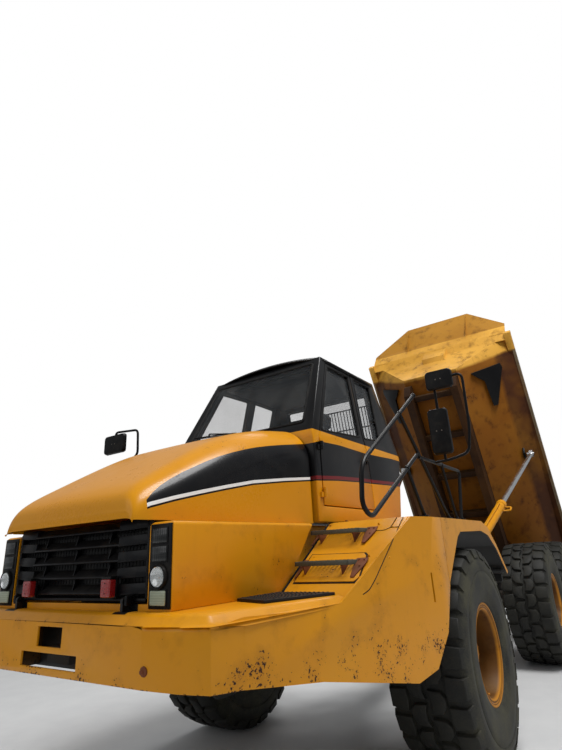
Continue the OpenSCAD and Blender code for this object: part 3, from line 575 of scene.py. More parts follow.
@dataclass(frozen=True)
class Lens:
    """A lamp lens moulded with ribs, over its reflector."""

    name: str
    colour: Colour
    rib: float = 260.0
    glow: float = 0.0
    alpha: float = 1.0
    coat: float = 0.6

    def build(self) -> bpy.types.Material:
        """Makes the material."""
        bench = Bench(self.name)
        wave = bench.waves("Y", self.rib / 6.28)
        cross = bench.waves("Z", self.rib / 12.0)
        shade = bench.mix((wave * 0.5 + cross * 0.5) * 0.45, self.colour,
                          tuple(min(1.0, c * 1.8 + 0.03) for c in self.colour))
        return bench.finish(shade, bench.noise(30.0).above(0.3, 0.8) * 0.16 + 0.07,
                            height=wave * 0.6 + cross * 0.4, depth=0.0012, Coat_Weight=self.coat,
                            Alpha=self.alpha, Emission_Color=self.colour, Emission_Strength=self.glow)


@dataclass(frozen=True)
class Glazing:
    """Clear or tinted window glass with a film of dust."""

    name: str
    tint: Colour = (0.50, 0.56, 0.58)
    clear: float = 0.20

    def build(self) -> bpy.types.Material:
        """Makes the material."""
        bench = Bench(self.name)
        film = bench.noise(3.0, 4.0, 0.6).above(0.40, 0.80)
        rim = bench.node("ShaderNodeLayerWeight", None, {"Blend": 0.12}, "Fresnel")
        alpha = (rim * 0.25 + film * 0.05 + self.clear).smaller(0.9)
        colour = bench.mix(film * 0.3, self.tint, (0.42, 0.41, 0.38))
        return bench.finish(colour, film * 0.06 + 0.03, Alpha=alpha, Specular_IOR_Level=0.6)


@dataclass(frozen=True)
class Cloth:
    """Woven seat cloth."""

    name: str
    colour: Colour
    threads: float = 90.0

    def build(self) -> bpy.types.Material:
        """Makes the material."""
        bench = Bench(self.name)
        weave = bench.waves("X", self.threads, 1.0) * 0.5 + bench.waves("Z", self.threads, 1.0) * 0.5
        colour = bench.mix(weave, self.colour, tuple(c * 2.2 for c in self.colour))
        return bench.finish(colour, weave * 0.1 + 0.8, height=weave, depth=0.0006, Sheen_Weight=0.3)


def to_mesh(bm: bmesh.types.BMesh, name: str) -> bpy.types.Mesh:
    """Writes a bmesh into a new mesh and frees it."""
    mesh = bpy.data.meshes.new(name)
    bm.to_mesh(mesh)
    bm.free()
    return mesh


def to_scene(name: str, data: bpy.types.ID) -> bpy.types.Object:
    """Makes an object of a mesh, a light, a camera or a curve, in the scene."""
    made = bpy.data.objects.new(name, data)
    bpy.context.scene.collection.objects.link(made)
    return made


def circle(count: int, radius: float, start: float = 0.0) -> list[tuple[float, float]]:
    """Places evenly round a circle, from an angle on."""
    return [(radius * math.cos(start + turn), radius * math.sin(start + turn))
            for turn in (2 * math.pi * index / count for index in range(count))]


def spin_to(direction: Vector) -> Matrix:
    """The turn that points Z along a direction."""
    return direction.to_track_quat("Z", "Y").to_matrix().to_4x4()


class Shape:
    """A mesh under construction, in metres, in the machine's frame."""

    def __init__(self) -> None:
        """Starts an empty mesh."""
        self.bm = bmesh.new()
        self.wear = self.bm.faces.layers.float.new("wear")

    def place(self, verts: Iterable[bmesh.types.BMVert], matrix: Matrix) -> None:
        """Moves vertices by a matrix."""
        bmesh.ops.transform(self.bm, matrix=matrix, verts=list(verts))

    def round_off(self, verts: Iterable[bmesh.types.BMVert], width: float, segments: int = 2,
                  sharper: float = 0.5) -> None:
        """Bevels the edges between the given vertices.

        Args:
            verts: Vertices of the part.
            width: Bevel width.
            segments: Steps across the bevel.
            sharper: Only edges that turn by more than this angle.
        """
        chosen = set(verts)
        edges = [e for v in chosen for e in v.link_edges
                 if e.verts[0] in chosen and e.verts[1] in chosen and e.calc_face_angle(0.0) > sharper]
        bmesh.ops.bevel(self.bm, geom=list(set(edges)), offset=width, segments=segments, profile=0.5,
                        affect="EDGES", material=-1, clamp_overlap=True)

    def block(self, low: Sequence[float], high: Sequence[float], edge: float = 0.0,
              segments: int = 2) -> list[bmesh.types.BMVert]:
        """Adds a box between two corners.

        Args:
            low: Lowest corner.
            high: Highest corner.
            edge: Width of its rounded edges.
            segments: Steps of the rounding.

        Returns:
            Its vertices before the rounding.
        """
        low, high = Vector(low), Vector(high)
        verts = bmesh.ops.create_cube(self.bm, size=1.0)["verts"]
        self.place(verts, Matrix.Translation((low + high) / 2) @ Matrix.Diagonal((*(high - low), 1.0)))
        if edge:
            self.round_off(verts, edge, segments)
        return verts

    def rod(self, start: Sequence[float], end: Sequence[float], radius: float,
            end_radius: float | None = None, sides: int = 24, edge: float = 0.0) -> None:
        """Adds a round or many-sided rod from one point to another.

        Args:
            start: First end.
            end: Second end.
            radius: Radius at the first end.
            end_radius: Radius at the second end, if it tapers.
            sides: Sides of the rod.
            edge: Width of its rounded rims.
        """
        start, end = Vector(start), Vector(end)
        along = end - start
        verts = bmesh.ops.create_cone(self.bm, cap_ends=True, cap_tris=False, segments=sides, radius1=radius,
                                      radius2=radius if end_radius is None else end_radius,
                                      depth=along.length)["verts"]
        self.place(verts, Matrix.Translation((start + end) / 2) @ spin_to(along))
        if edge:
            self.round_off(verts, edge, 2)

    def bolt(self, at: Sequence[float], out: Sequence[float], size: float) -> None:
        """Adds a hexagon bolt head on a washer, standing out from a face."""
        at, out = Vector(at), Vector(out).normalized()
        self.rod(at - out * 0.002, at + out * size * 0.12, size * 0.95, sides=16)
        self.rod(at, at + out * size * 0.72, size * 0.62, sides=6, edge=size * 0.08)

    def lathe(self, at: Sequence[float], along: Sequence[float], outline: Curve, steps: int = 48) -> None:
        """Spins an outline about an axis.

        Args:
            at: Point on the axis.
            along: Direction of the axis.
            outline: (radius, height) points, from one end to the other.
            steps: Steps round the axis.
        """
        ring = [self.bm.verts.new((radius, 0.0, height)) for radius, height in outline]
        edges = [self.bm.edges.new(pair) for pair in zip(ring, ring[1:])]
        bmesh.ops.spin(self.bm, geom=ring + edges, axis=(0, 0, 1), cent=(0, 0, 0), dvec=(0, 0, 0),
                       angle=2 * math.pi, steps=steps, use_merge=True)
        faces = {f for v in ring for f in v.link_faces}
        while True:
            grown = {f for face in faces for v in face.verts for f in v.link_faces} | faces
            if len(grown) == len(faces):
                break
            faces = grown
        verts = list({v for f in faces for v in f.verts})
        bmesh.ops.remove_doubles(self.bm, verts=verts, dist=1e-5)
        faces = [f for f in faces if f.is_valid]
        bmesh.ops.recalc_face_normals(self.bm, faces=faces)
        verts = list({v for f in faces for v in f.verts})
        self.place(verts, Matrix.Translation(Vector(at)) @ spin_to(Vector(along)))

    def plate(self, points: Sequence[Sequence[float]], push: Sequence[float], edge: float = 0.0
              ) -> list[bmesh.types.BMVert]:
        """Adds a flat plate.

        Args:
            points: Its outline, in order.
            push: Direction and amount of its thickness.
            edge: Width of its rounded edges.

        Returns:
            Its vertices before the rounding.
        """
        face = self.bm.faces.new([self.bm.verts.new(p) for p in points])
        made = bmesh.ops.extrude_face_region(self.bm, geom=[face])
        top = [g for g in made["geom"] if isinstance(g, bmesh.types.BMVert)]
        bmesh.ops.translate(self.bm, vec=Vector(push), verts=top)
        verts = top + list(face.verts)
        faces = list({f for v in verts for f in v.link_faces})
        bmesh.ops.recalc_face_normals(self.bm, faces=faces)
        if edge:
            self.round_off(verts, edge, 2)
        return verts

    def tube(self, points: Sequence[Sequence[float]], radius: float, bend: float = 0.05,
             sides: int = 16) -> None:
        """Adds a bent tube.

        Args:
            points: Its corners, from end to end.
            radius: Tube radius.
            bend: How far from a corner its bend starts.
            sides: Sides of the tube.
        """
        corners = [Vector(p) for p in points]
        path = [corners[0]]
        for before, corner, after in zip(corners, corners[1:], corners[2:]):
            reach = min(bend, (before - corner).length * 0.45, (after - corner).length * 0.45)
            first = corner + (before - corner).normalized() * reach
            last = corner + (after - corner).normalized() * reach
            for step in range(7):
                t = step / 6
                path.append(first * (1 - t) ** 2 + corner * 2 * t * (1 - t) + last * t * t)
        path.append(corners[-1])
        curve = bpy.data.curves.new("tube", "CURVE")
        curve.dimensions = "3D"
        curve.bevel_depth = radius
        curve.bevel_resolution = max(1, sides // 4 - 1)
        curve.use_fill_caps = True
        spline = curve.splines.new("POLY")
        spline.points.add(len(path) - 1)
        for point, where in zip(spline.points, path):
            point.co = (*where, 1.0)
        holder = to_scene("tube", curve)
        bpy.context.view_layer.update()
        mesh = holder.evaluated_get(bpy.context.evaluated_depsgraph_get()).to_mesh()
        self.bm.from_mesh(mesh)
        bpy.data.objects.remove(holder)
        bpy.data.curves.remove(curve)

    def face_up(self) -> None:
        """Turns an open surface so that its outside is above."""
        bmesh.ops.recalc_face_normals(self.bm, faces=self.bm.faces[:])
        if sum(face.normal.z for face in self.bm.faces) < 0:
            bmesh.ops.reverse_faces(self.bm, faces=self.bm.faces[:])

    def thicken(self, depth: float) -> None:
        """Gives an open surface a thickness on its inner side.

        Args:
            depth: The thickness.
        """
        self.bm.normal_update()
        normals = {tuple(vert.co): vert.normal.copy() for vert in self.bm.verts}
        made = bmesh.ops.extrude_face_region(self.bm, geom=self.bm.faces[:], use_keep_orig=True)
        for vert in (part for part in made["geom"] if isinstance(part, bmesh.types.BMVert)):
            vert.co -= normals[tuple(vert.co)] * depth
        bmesh.ops.recalc_face_normals(self.bm, faces=self.bm.faces[:])

    def piece(self, name: str, material: bpy.types.Material, body: str, slot: str, *nodes: str,
              flat: float = 0.6) -> bpy.types.Object:
        """Makes the object.

        Args:
            name: Its name.
            material: Its finish.
            body: The body that it rides on.
            slot: The record's slot of its finish; not used.
            nodes: CAD nodes that it stands for.
            flat: Edges that turn by more than this angle stay sharp.

        Returns:
            The finished object.
        """
        for face in self.bm.faces:
            face.smooth = True
        for edge in self.bm.edges:
            edge.smooth = edge.calc_face_angle(0.0) < flat
        mesh = to_mesh(self.bm, name)
        made = to_scene(name, mesh)
        mesh.materials.append(material)
        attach(made, body)
        if nodes:
            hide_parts(*nodes)
        LOG.info("%s rides on %s, %d faces", name, body, len(mesh.polygons))
        return made


@dataclass
class Dressed:
    """A CAD node's copy with merged faces and rounded edges."""

    node: str
    width: float = 0.004
    segments: int = 2
    shortest: float = 0.03
    rounder: Callable[[bmesh.types.BMEdge], float] | None = None

    def shape(self) -> Shape:
        """Copies the node, joins its triangles and rounds its edges.

        Returns:
            The copy.
        """
        shape = Shape()
        shape.bm.from_mesh(FRAME["nodes"][self.node].data)
        shape.wear = shape.bm.faces.layers.float.get("wear") or shape.bm.faces.layers.float.new("wear")
        bmesh.ops.remove_doubles(shape.bm, verts=shape.bm.verts[:], dist=2e-5)
        bmesh.ops.dissolve_limit(shape.bm, angle_limit=0.01, use_dissolve_boundaries=False,
                                 verts=shape.bm.verts[:], edges=shape.bm.edges[:])
        if self.rounder:
            widths = {self.rounder(edge) for edge in shape.bm.edges if edge.is_manifold} - {0.0}
            for width in widths:
                self._bevel(shape, lambda edge, w=width: self.rounder(edge) == w, width, 5, 0.0)
        if self.width:
            self._bevel(shape, self._rounds, self.width, self.segments, 1.0)
        return shape

    def _bevel(self, shape: Shape, wanted: Callable[[bmesh.types.BMEdge], bool], width: float, segments: int,
               wear: float) -> None:
        """Rounds edges, and takes fewer of them where that would tear the surface.

        Args:
            shape: The copy.
            wanted: Which edges are rounded.
            width: Bevel width.
            segments: Steps across the bevel.
            wear: Wear marked on the new faces.
        """
        surface = BVHTree.FromBMesh(shape.bm)
        for clamp, shortest in ((False, 0.0), (False, 0.12), (True, 0.0)):
            trial = shape.bm.copy()
            chosen = [e for e in trial.edges if e.is_manifold and e.calc_length() > shortest and wanted(e)]
            made = bmesh.ops.bevel(trial, geom=chosen, offset=width, segments=segments, profile=0.5,
                                   affect="EDGES", material=-1, clamp_overlap=clamp)
            strayed = any(surface.find_nearest(v.co)[3] > width for v in trial.verts)
            if not strayed or clamp:
                break
            trial.free()
        layer = trial.faces.layers.float["wear"]
        for face in made["faces"]:
            face[layer] = max(face[layer], wear)
        shape.bm.free()
        shape.bm, shape.wear = trial, layer
        LOG.info("%s: %d edges rounded by %.3f, clamp %s", self.node, len(chosen), width, clamp)

    def _rounds(self, edge: bmesh.types.BMEdge) -> bool:
        """Whether an edge is long and sharp enough to round."""
        if not edge.is_manifold or edge.calc_length() < self.shortest:
            return False
        if abs(edge.calc_face_angle(0.0)) < 0.6:
            return False
        return all(min(e.calc_length() for e in face.edges) > self.width * 2.2 for face in edge.link_faces)

    def build(self, material: bpy.types.Material, slot: str) -> None:
        """Makes the piece that stands for the node."""
        body = FRAME["nodes"][self.node]["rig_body"]
        self.shape().piece(f"{self.node}_skin", material, body, slot, self.node)


def repaint(node: str, material: bpy.types.Material) -> None:
    """Gives a CAD node a finish."""
    owner = FRAME["nodes"][node]
    if not owner.material_slots:
        owner.data.materials.append(material)
    for slot in owner.material_slots:
        slot.material = material
    LOG.info("%s repainted with %s", node, material.name)


def raised(x: float, y: float, z: float) -> Vector:
    """A point of the lowered body, moved to where the raised body has it."""
    ahead, up = x - BED_PIVOT[0], z - BED_PIVOT[1]
    return at(BED_PIVOT[0] + ahead * math.cos(BED_TILT) - up * math.sin(BED_TILT), y,
              BED_PIVOT[1] + ahead * math.sin(BED_TILT) + up * math.cos(BED_TILT))


@dataclass(frozen=True)
class StepsPanel:
    """The sloping panel with the steps, on one side of the hood."""

    side: int
    foot: tuple[float, float] = (2.094, 1.506)
    top: tuple[float, float] = (1.340, 1.990)
    normal: tuple[float, float] = (0.54, 0.84)

    @property
    def slope(self) -> float:
        """How its height changes towards the front."""
        return (self.top[1] - self.foot[1]) / (self.top[0] - self.foot[0])

    @property
    def out(self) -> tuple[float, float, float]:
        """The way out of it."""
        return (self.normal[0], 0, self.normal[1])

    def at(self, x: float, y: float, out: float = 0.002) -> Vector:
        """A point that stands out from the panel."""
        return at(x + out * self.normal[0], self.side * y,
                  self.foot[1] + (x - self.foot[0]) * self.slope + out * self.normal[1])


# where the band on the hood's and the cab's sides ends above and below: (x, z) from the front axle
BAND_TOP = ((-0.5, 2.715), (-0.239, 2.714), (0.12, 2.698), (0.438, 2.686), (0.977, 2.692), (1.349, 2.675),
            (1.44, 2.650), (1.614, 2.622), (1.778, 2.595), (1.944, 2.565), (2.094, 2.534), (2.226, 2.501),
            (2.355, 2.463), (2.470, 2.424), (2.581, 2.380), (2.688, 2.333), (2.789, 2.287), (2.890, 2.235),
            (2.962, 2.193), (3.025, 2.148), (3.098, 2.080), (3.125, 2.055))
BAND_FOOT = ((-0.5, 2.432), (-0.2, 2.423), (0.267, 2.404), (0.686, 2.390), (1.077, 2.369), (1.44, 2.340),
             (1.814, 2.301), (2.184, 2.255), (2.448, 2.204), (2.673, 2.157), (2.881, 2.111), (3.053, 2.067),
             (3.098, 2.051), (3.125, 2.04))


class Finishes:
    """Every finish of the machine, made once."""

    def __init__(self) -> None:
        """Builds the materials."""
        self.yellow = Paint("machine_yellow", AMBER, coat=0.10, rough=0.34, foot_z=1.20).build()
        # the bumper's inside faces and tow slots get painted shade
        self.bumper = Paint("bumper_yellow", AMBER, coat=0.10, rough=0.34, foot_z=1.20,
                            shaded_recess=(3.150, 0.640, 1.440), tabs=(0.49, 0.60, 1.510)).build()
        # the fenders' faces that point down get painted shade
        self.fender = Paint("fender_yellow", AMBER, coat=0.10, rough=0.34, foot_z=1.20,
                            under=(0.012, 0.011, 0.010)).build()
        self.hood = BandedPaint("hood_paint", AMBER, Wear.CLEAN, 0.28, 0.12, top=BAND_TOP, foot=BAND_FOOT,
                                shine=0.18).build()
        self.cab = BandedPaint("cab_paint", AMBER, Wear.CLEAN, 0.30, 0.10, top=BAND_TOP, foot=BAND_FOOT,
                               shine=0.16, stripe=(0.16, 0.012, 0.014), stripe_w=0.030, above=COAL,
                               above_z=2.775).build()
        self.load = BodyPaint("load_body_paint", (0.190, 0.064, 0.004), Wear.LOAD, 0.52, 0.0,
                              fade=(0.26, 0.105, 0.008), grime=(0.10, 0.030, 0.006), streaks=0.10, scuffs=0.7,
                              shine=0.15).build()
        self.beam = Paint("beam_paint", (0.030, 0.013, 0.005), Wear.LOAD, 0.55, 0.0,
                          fade=(0.10, 0.038, 0.008), streaks=0.05, scuffs=0.6, shine=0.15).build()
        # the rim's barrel inside and lock ring grooves take painted shade with rust
        self.rim = Paint("rim_paint", (0.46, 0.180, 0.008), Wear.LOAD, 0.5, 0.0, fade=(0.26, 0.105, 0.012),
                         grime=(0.08, 0.03, 0.01), scuffs=0.8, shine=0.2, deep=(0.060, 0.022, 0.006)).build()
        self.black = Paint("black_paint", COAL, Wear.CLEAN, 0.36, 0.0, fade=(0.012, 0.012, 0.012),
                           shine=0.16).build()
        self.galvanised = Steel("tread_metal", (0.13, 0.14, 0.11), 0.3, 0.5, 0.3).build()
        self.tread = Paint("tread_plate_paint", (0.010, 0.010, 0.011), Wear.CLEAN, 0.5, 0.0,
                           fade=(0.05, 0.048, 0.045)).build()
        self.rust = Paint("bare_bracket", (0.17, 0.050, 0.022), Wear.LOAD, 0.6, 0.0,
                          fade=(0.22, 0.09, 0.03)).build()
        self.trim = Plastic("black_trim", COAL, 0.42).build()
        self.grille = Plastic("grille_black", (0.0025, 0.0025, 0.0035), 0.40, 300.0, 0.05).build()
        self.steel = Steel("chassis_steel", (0.016, 0.015, 0.014), 0.2, 0.58, 0.45).build()
        self.iron = Steel("bolt_steel", (0.17, 0.15, 0.13), 0.7, 0.46, 0.4).build()
        self.chrome = Steel("rod_chrome", (0.80, 0.81, 0.82), 1.0, 0.14, 0.12).build()
        self.rubber = Rubber("tyre_rubber").build()
        self.seal = Plastic("seal_rubber", (0.010, 0.010, 0.010), 0.6, 200.0).build()
        self.glass = Glazing("window_glass", (0.05, 0.055, 0.06), 0.14).build()
        self.mirror = Steel("mirror_glass", (0.78, 0.80, 0.82), 1.0, 0.06, 0.05).build()
        self.clear = Lens("lamp_clear", (0.60, 0.63, 0.58), 240.0, alpha=0.30).build()
        self.ribbed = Lens("lamp_ribbed", (0.25, 0.28, 0.19), 300.0).build()
        self.dark_lens = Lens("lamp_dark", (0.004, 0.005, 0.005), 120.0, coat=0.05).build()
        self.red = Lens("lamp_red", (0.22, 0.004, 0.004), 420.0, 0.05).build()
        self.cloth = Cloth("seat_cloth", (0.022, 0.023, 0.025)).build()
        self.panel = Plastic("dash_plastic", (0.022, 0.023, 0.025), 0.6, 30.0).build()


@dataclass
class Part:
    """A sub-assembly with the finishes it takes."""

    finishes: Finishes


@dataclass
class Plates(Part):
    """Bumper, fenders and lamp boxes, in welded sheet."""

    edge: float = 0.005
    lip: float = 0.022
    lip_x: float = 1.9
    lip_z: float = 1.40
    slot_half: float = 0.70
    slot_z: float = 1.47
    box_lip: float = 0.026
    box_z: float = 1.90

    def _lip_width(self, edge: bmesh.types.BMEdge) -> float:
        """How round an edge of the bumper is: wide along its upper lip, and sharp at the nose slots."""
        middle = (edge.verts[0].co + edge.verts[1].co) / 2
        level = abs(edge.verts[0].co.z - edge.verts[1].co.z) < 0.1
        outside = all(face.normal.dot(middle - at(1.0, 0, 1.35)) > 0 for face in edge.link_faces)
        sharp = abs(edge.calc_face_angle(0.0)) > 0.2 and edge.calc_length() > 0.05
        slot = abs(middle.y - SIDE) < self.slot_half and middle.z < self.slot_z
        front = middle.x > at(self.lip_x, 0, 0).x and middle.z > self.lip_z
        return self.lip if outside and sharp and level and front and not slot else 0.0

    def _box_top(self, edge: bmesh.types.BMEdge) -> float:
        """How round an edge of the lamp boxes is: wide along the top."""
        high = min(vert.co.z for vert in edge.verts) > self.box_z
        sharp = edge.calc_length() > 0.12 and abs(edge.calc_face_angle(0.0)) > 0.6
        return self.box_lip if high and sharp else 0.0

    def build(self) -> None:
        """Dresses the sheet metal and adds its bolts and seams, with painted shade round the covers and in
        the gaps.
        """
        Dressed("bumper", self.edge, rounder=self._lip_width).build(self.finishes.bumper, "body_yellow")
        Dressed("fenders", self.edge).build(self.finishes.fender, "body_yellow")
        Dressed("lamp_boxes", 0.006, 2, rounder=self._box_top).build(self.finishes.bumper, "body_yellow")
        self._bolts()
        self._cover()

    def _bolts(self) -> None:
        """Adds the bolts of the bumper, the steps panel and the lamp boxes."""
        bolts = Shape()
        for y in (0.814, -0.814):
            bolts.lathe(at(3.178, y, 1.272), (1, 0, 0), (
                (0.0, 0.022), (0.009, 0.020), (0.012, 0.008), (0.022, 0.005), (0.024, 0.0),
                (0.024, -0.004)), 24)
        for side in (1, -1):
            for x, y in ((1.30, 1.00), (1.08, 1.12), (0.70, 1.0), (0.2, 1.1), (-0.25, 1.1)):
                bolts.bolt(at(x, side * y, 1.991), (0, 0, 1), 0.018)
        bolts.piece("sheet_bolts", self.finishes.rust, "tractor", "chassis_steel")

    def _cover(self) -> None:
        """Adds the bolted cover plate, the joints of the steps panels, a painted shadow round the cover and
        painted shade in the gaps.
        """
        cover, joints_and_shade = Shape(), Shape()
        outline = ((1.715, 0.915), (1.720, 1.335), (1.745, 1.360), (1.945, 1.385), (1.975, 1.365),
                   (1.975, 0.915))
        shadow = [(x + math.copysign(0.010, x - 1.85), y + math.copysign(0.010, y - 1.2)) for x, y in outline]
        # joints across the top and along the ridge
        joints = (((1.480, 1.26), (1.482, 1.40), (1.452, 1.437), (1.456, 1.498)),
                  ((1.345, 1.450), (1.452, 1.437)),
                  ((1.345, 1.500), (1.466, 1.500), (1.956, 1.506), (2.042, 1.498), (2.075, 1.470)))
        bolts = ((1.377, 0.895), (1.407, 1.327), (1.773, 1.539), (1.940, 1.387), (1.913, 0.960),
                 (1.740, 0.945), (1.745, 1.380))
        for side in (1, -1):
            panel = StepsPanel(side)
            lift = panel.at(0, 0, 0.006) - panel.at(0, 0, 0.0)
            cover.plate([panel.at(x, y) for x, y in outline], lift, 0.002)
            # painted shadow: a black plate just larger than the cover, under its rim
            joints_and_shade.plate([panel.at(x, y, 0.0) for x, y in shadow], lift * 0.5)
            # painted shade: a dark strip in the gap beside the lamp box
            joints_and_shade.tube([panel.at(2.090, 0.868), panel.at(1.345, 0.868)], 0.008, sides=8)
            for points in joints:
                joints_and_shade.tube([panel.at(x, y, 0.001) for x, y in points], 0.0032, 0.03, 8)
            # painted shade: a black plate in the gap under the cab
            joints_and_shade.plate([at(x, side * y, 1.991) for x, y in ((1.36, 0.86), (1.30, 1.02), (1.20, 0.86))],
                       (0, 0, 0.004))
            for x, y in bolts:
                cover.bolt(panel.at(x, y, 0.005), panel.out, 0.009)
        cover.piece("steps_cover", self.finishes.yellow, "tractor", "body_yellow")
        joints_and_shade.piece("panel_joints_and_shade", self.finishes.trim, "tractor", "trim_black")


@dataclass
class Wheels(Part):
    """Six tyres with block treads, on bolted rims."""

    radius: float = TYRE_RADIUS
    width: float = 0.673
    track: float = 1.31
    blocks: int = 26
    tread_from: float = 0.80

    def build(self) -> None:
        """Makes every wheel at its place."""
        meshes = {"tyre": self._tyre(), "rim": self._rim()}
        for index, (axle, hand) in enumerate((axle, hand) for axle in AXLES for hand in "lr"):
            name, side = axle + hand, 1 if hand == "l" else -1
            hub = at(AXLES[axle], side * self.track, self.radius)
            turn = (Matrix.Translation(hub) @ Matrix.Rotation(0.07 * index, 4, "Y")
                    @ Matrix.Rotation(-math.pi / 2 * side, 4, "X"))
            made = {}
            for part, finish, slot, flat in (("tyre", self.finishes.rubber, "tyre_rubber", 0.9),
                                             ("rim", self.finishes.rim, "rim_yellow", 0.6)):
                shape = Shape()
                shape.bm.from_mesh(meshes[part])
                shape.place(shape.bm.verts, turn)
                made[part] = shape.piece(f"{part}_{name}_dressed", finish, f"wheel_{name}", slot,
                                         f"{part}_{name}", flat=flat).data
            tread = made["tyre"].attributes.new("tread", "FLOAT", "POINT")
            far = [(math.hypot(v.co.x - hub.x, v.co.z - hub.z) - self.tread_from) / 0.04
                   for v in made["tyre"].vertices]
            tread.data.foreach_set("value", [min(1.0, max(0.0, share)) for share in far])

    def _tyre(self) -> bpy.types.Mesh:
        """Makes one tyre with its axis along Z and its outside up.

        Returns:
            Its mesh.
        """
        shape = Shape()
        half = self.width / 2
        # radius, height of one half of the outline
        wall = [(0.352, 0.250), (0.352, 0.280), (0.396, 0.280), (0.404, 0.300), (0.425, 0.312),
                (0.440, 0.3135), (0.446, 0.318), (0.470, 0.321), (0.478, 0.3255), (0.52, 0.3305),
                (0.60, half - 0.001), (0.662, 0.3355), (0.668, 0.3300), (0.676, 0.3352), (0.72, 0.330),
                (0.77, 0.318), (0.81, 0.300), (0.834, 0.270), (0.840, 0.16), (0.841, 0.0)]
        outline = [(r, -h) for r, h in wall] + [(r, h) for r, h in reversed(wall[:-1])]
        shape.lathe((0, 0, 0), (0, 0, 1), outline, 96)
        pitch = 2 * math.pi / self.blocks
        # one block of each row: (share of the pitch, place across)
        centre = [(-0.40, 0.012), (-0.14, 0.030), (0.16, 0.030), (0.42, 0.010), (0.36, 0.105), (0.12, 0.142),
                  (-0.18, 0.142), (-0.36, 0.110)]
        shoulder = [(-0.38, 0.162), (-0.14, 0.154), (0.14, 0.154), (0.40, 0.168), (0.34, 0.300),
                    (-0.32, 0.300)]
        for outline, hand, turn in ((centre, 1, 0.0), (centre, -1, 0.5), (shoulder, 1, 0.5),
                                    (shoulder, -1, 0.0)):
            self._block_row(shape, outline, hand, turn * pitch, pitch)
        return to_mesh(shape.bm, "tyre")

    def _block_row(self, shape: Shape, outline: Curve, hand: int, turn: float, pitch: float) -> None:
        """Adds one row of tread blocks round the tyre.

        Args:
            shape: The tyre, with its axis along Z.
            outline: The block seen from outside.
            hand: Which half of the tread it is on.
            turn: Angle of the first block.
            pitch: Angle from block to block.
        """
        first = bmesh.new()
        face = first.faces.new([first.verts.new((self.radius, share * pitch * self.radius, hand * across))
                                for share, across in outline])
        made = bmesh.ops.extrude_face_region(first, geom=[face])
        foot = [g for g in made["geom"] if isinstance(g, bmesh.types.BMVert)]
        bmesh.ops.translate(first, vec=(-0.062, 0, 0), verts=foot)
        middle = sum((v.co for v in foot), Vector()) / len(foot)
        skin = self.radius - 0.03
        bmesh.ops.scale(first, vec=(1, 1.10, 1.03), verts=foot, space=Matrix.Translation(-middle))
        for vert in first.verts:
            if abs(vert.co.z) > 0.25:
                # shoulder blocks lean down over the side of the tyre
                vert.co.x -= 0.020 if vert.co.x > skin else 0.030
                vert.co.z += hand * (0.002 if vert.co.x > skin else 0.022)
        bmesh.ops.recalc_face_normals(first, faces=first.faces[:])
        top = [e for e in first.edges if min(v.co.x for v in e.verts) > skin]
        bmesh.ops.bevel(first, geom=top, offset=0.007, segments=2, profile=0.5, affect="EDGES", material=-1)
        for vert in first.verts:
            # wrap the block round the tyre
            angle, r = vert.co.y / self.radius, vert.co.x
            vert.co.x, vert.co.y = r * math.cos(angle), r * math.sin(angle)
        block = to_mesh(first, "block")
        row = bmesh.new()
        for index in range(self.blocks):
            before = len(row.verts)
            row.from_mesh(block)
            row.verts.ensure_lookup_table()
            bmesh.ops.transform(row, matrix=Matrix.Rotation(turn + index * pitch, 4, "Z"),
                                verts=row.verts[before:])
        ring = to_mesh(row, "row")
        shape.bm.from_mesh(ring)
        for mesh in (block, ring):
            bpy.data.meshes.remove(mesh)

    def _rim(self) -> bpy.types.Mesh:
        """Makes one rim with its lock ring, nuts and hub cover, axis along Z.

        Returns:
            Its mesh.
        """
        shape = Shape()
        hub, out = Vector((0, 0, 0)), Vector((0, 0, 1))
        shape.lathe(hub, out, (
            (0.19, -0.040), (0.300, -0.040), (0.318, -0.120), (0.318, -0.282), (0.374, -0.292),
            (0.394, -0.295), (0.397, -0.288), (0.394, -0.281), (0.352, -0.276), (0.352, 0.272),
            (0.372, 0.279), (0.397, 0.281), (0.404, 0.290), (0.398, 0.298), (0.385, 0.297),
            (0.379, 0.290), (0.372, 0.2925), (0.362, 0.286), (0.353, 0.291), (0.345, 0.284),
            (0.334, 0.262), (0.330, 0.15), (0.327, 0.075), (0.315, 0.045), (0.285, 0.024), (0.19, 0.018)), 96)
        shape.lathe(hub, out, ((0.215, -0.15), (0.215, 0.030), (0.208, 0.046), (0.172, 0.058), (0.160, 0.085),
                               (0.156, 0.140), (0.148, 0.158), (0.128, 0.166), (0.075, 0.172), (0.068, 0.182),
                               (0.030, 0.184), (0.0, 0.184)), 64)
        for spot in circle(20, 0.252):
            where = Vector((*spot, 0.020))
            shape.bolt(where, out, 0.019)
            shape.rod(where, where + out * 0.034, 0.009, sides=12, edge=0.001)
        for spot in circle(12, 0.112, 0.2):
            shape.bolt((*spot, 0.166), out, 0.010)
        where = Vector((*circle(1, 0.338, 0.9)[0], 0.262))
        shape.rod(where - out * 0.05, where + out * 0.035, 0.008, sides=12, edge=0.002)
        # painted shade with rust: the barrel's inside and the lock ring's grooves are marked to be painted
        # dark rusty brown
        deep = shape.bm.verts.layers.float.new("deep")
        for vert in shape.bm.verts:
            r = math.hypot(vert.co.x, vert.co.y)
            groove = abs(r - 0.362) < 0.002 or abs(r - 0.379) < 0.002
            vert[deep] = 0.95 if groove else (0.85 if 0.27 < r < 0.336 and vert.co.z < 0.27 else 0.0)
        return to_mesh(shape.bm, "rim")


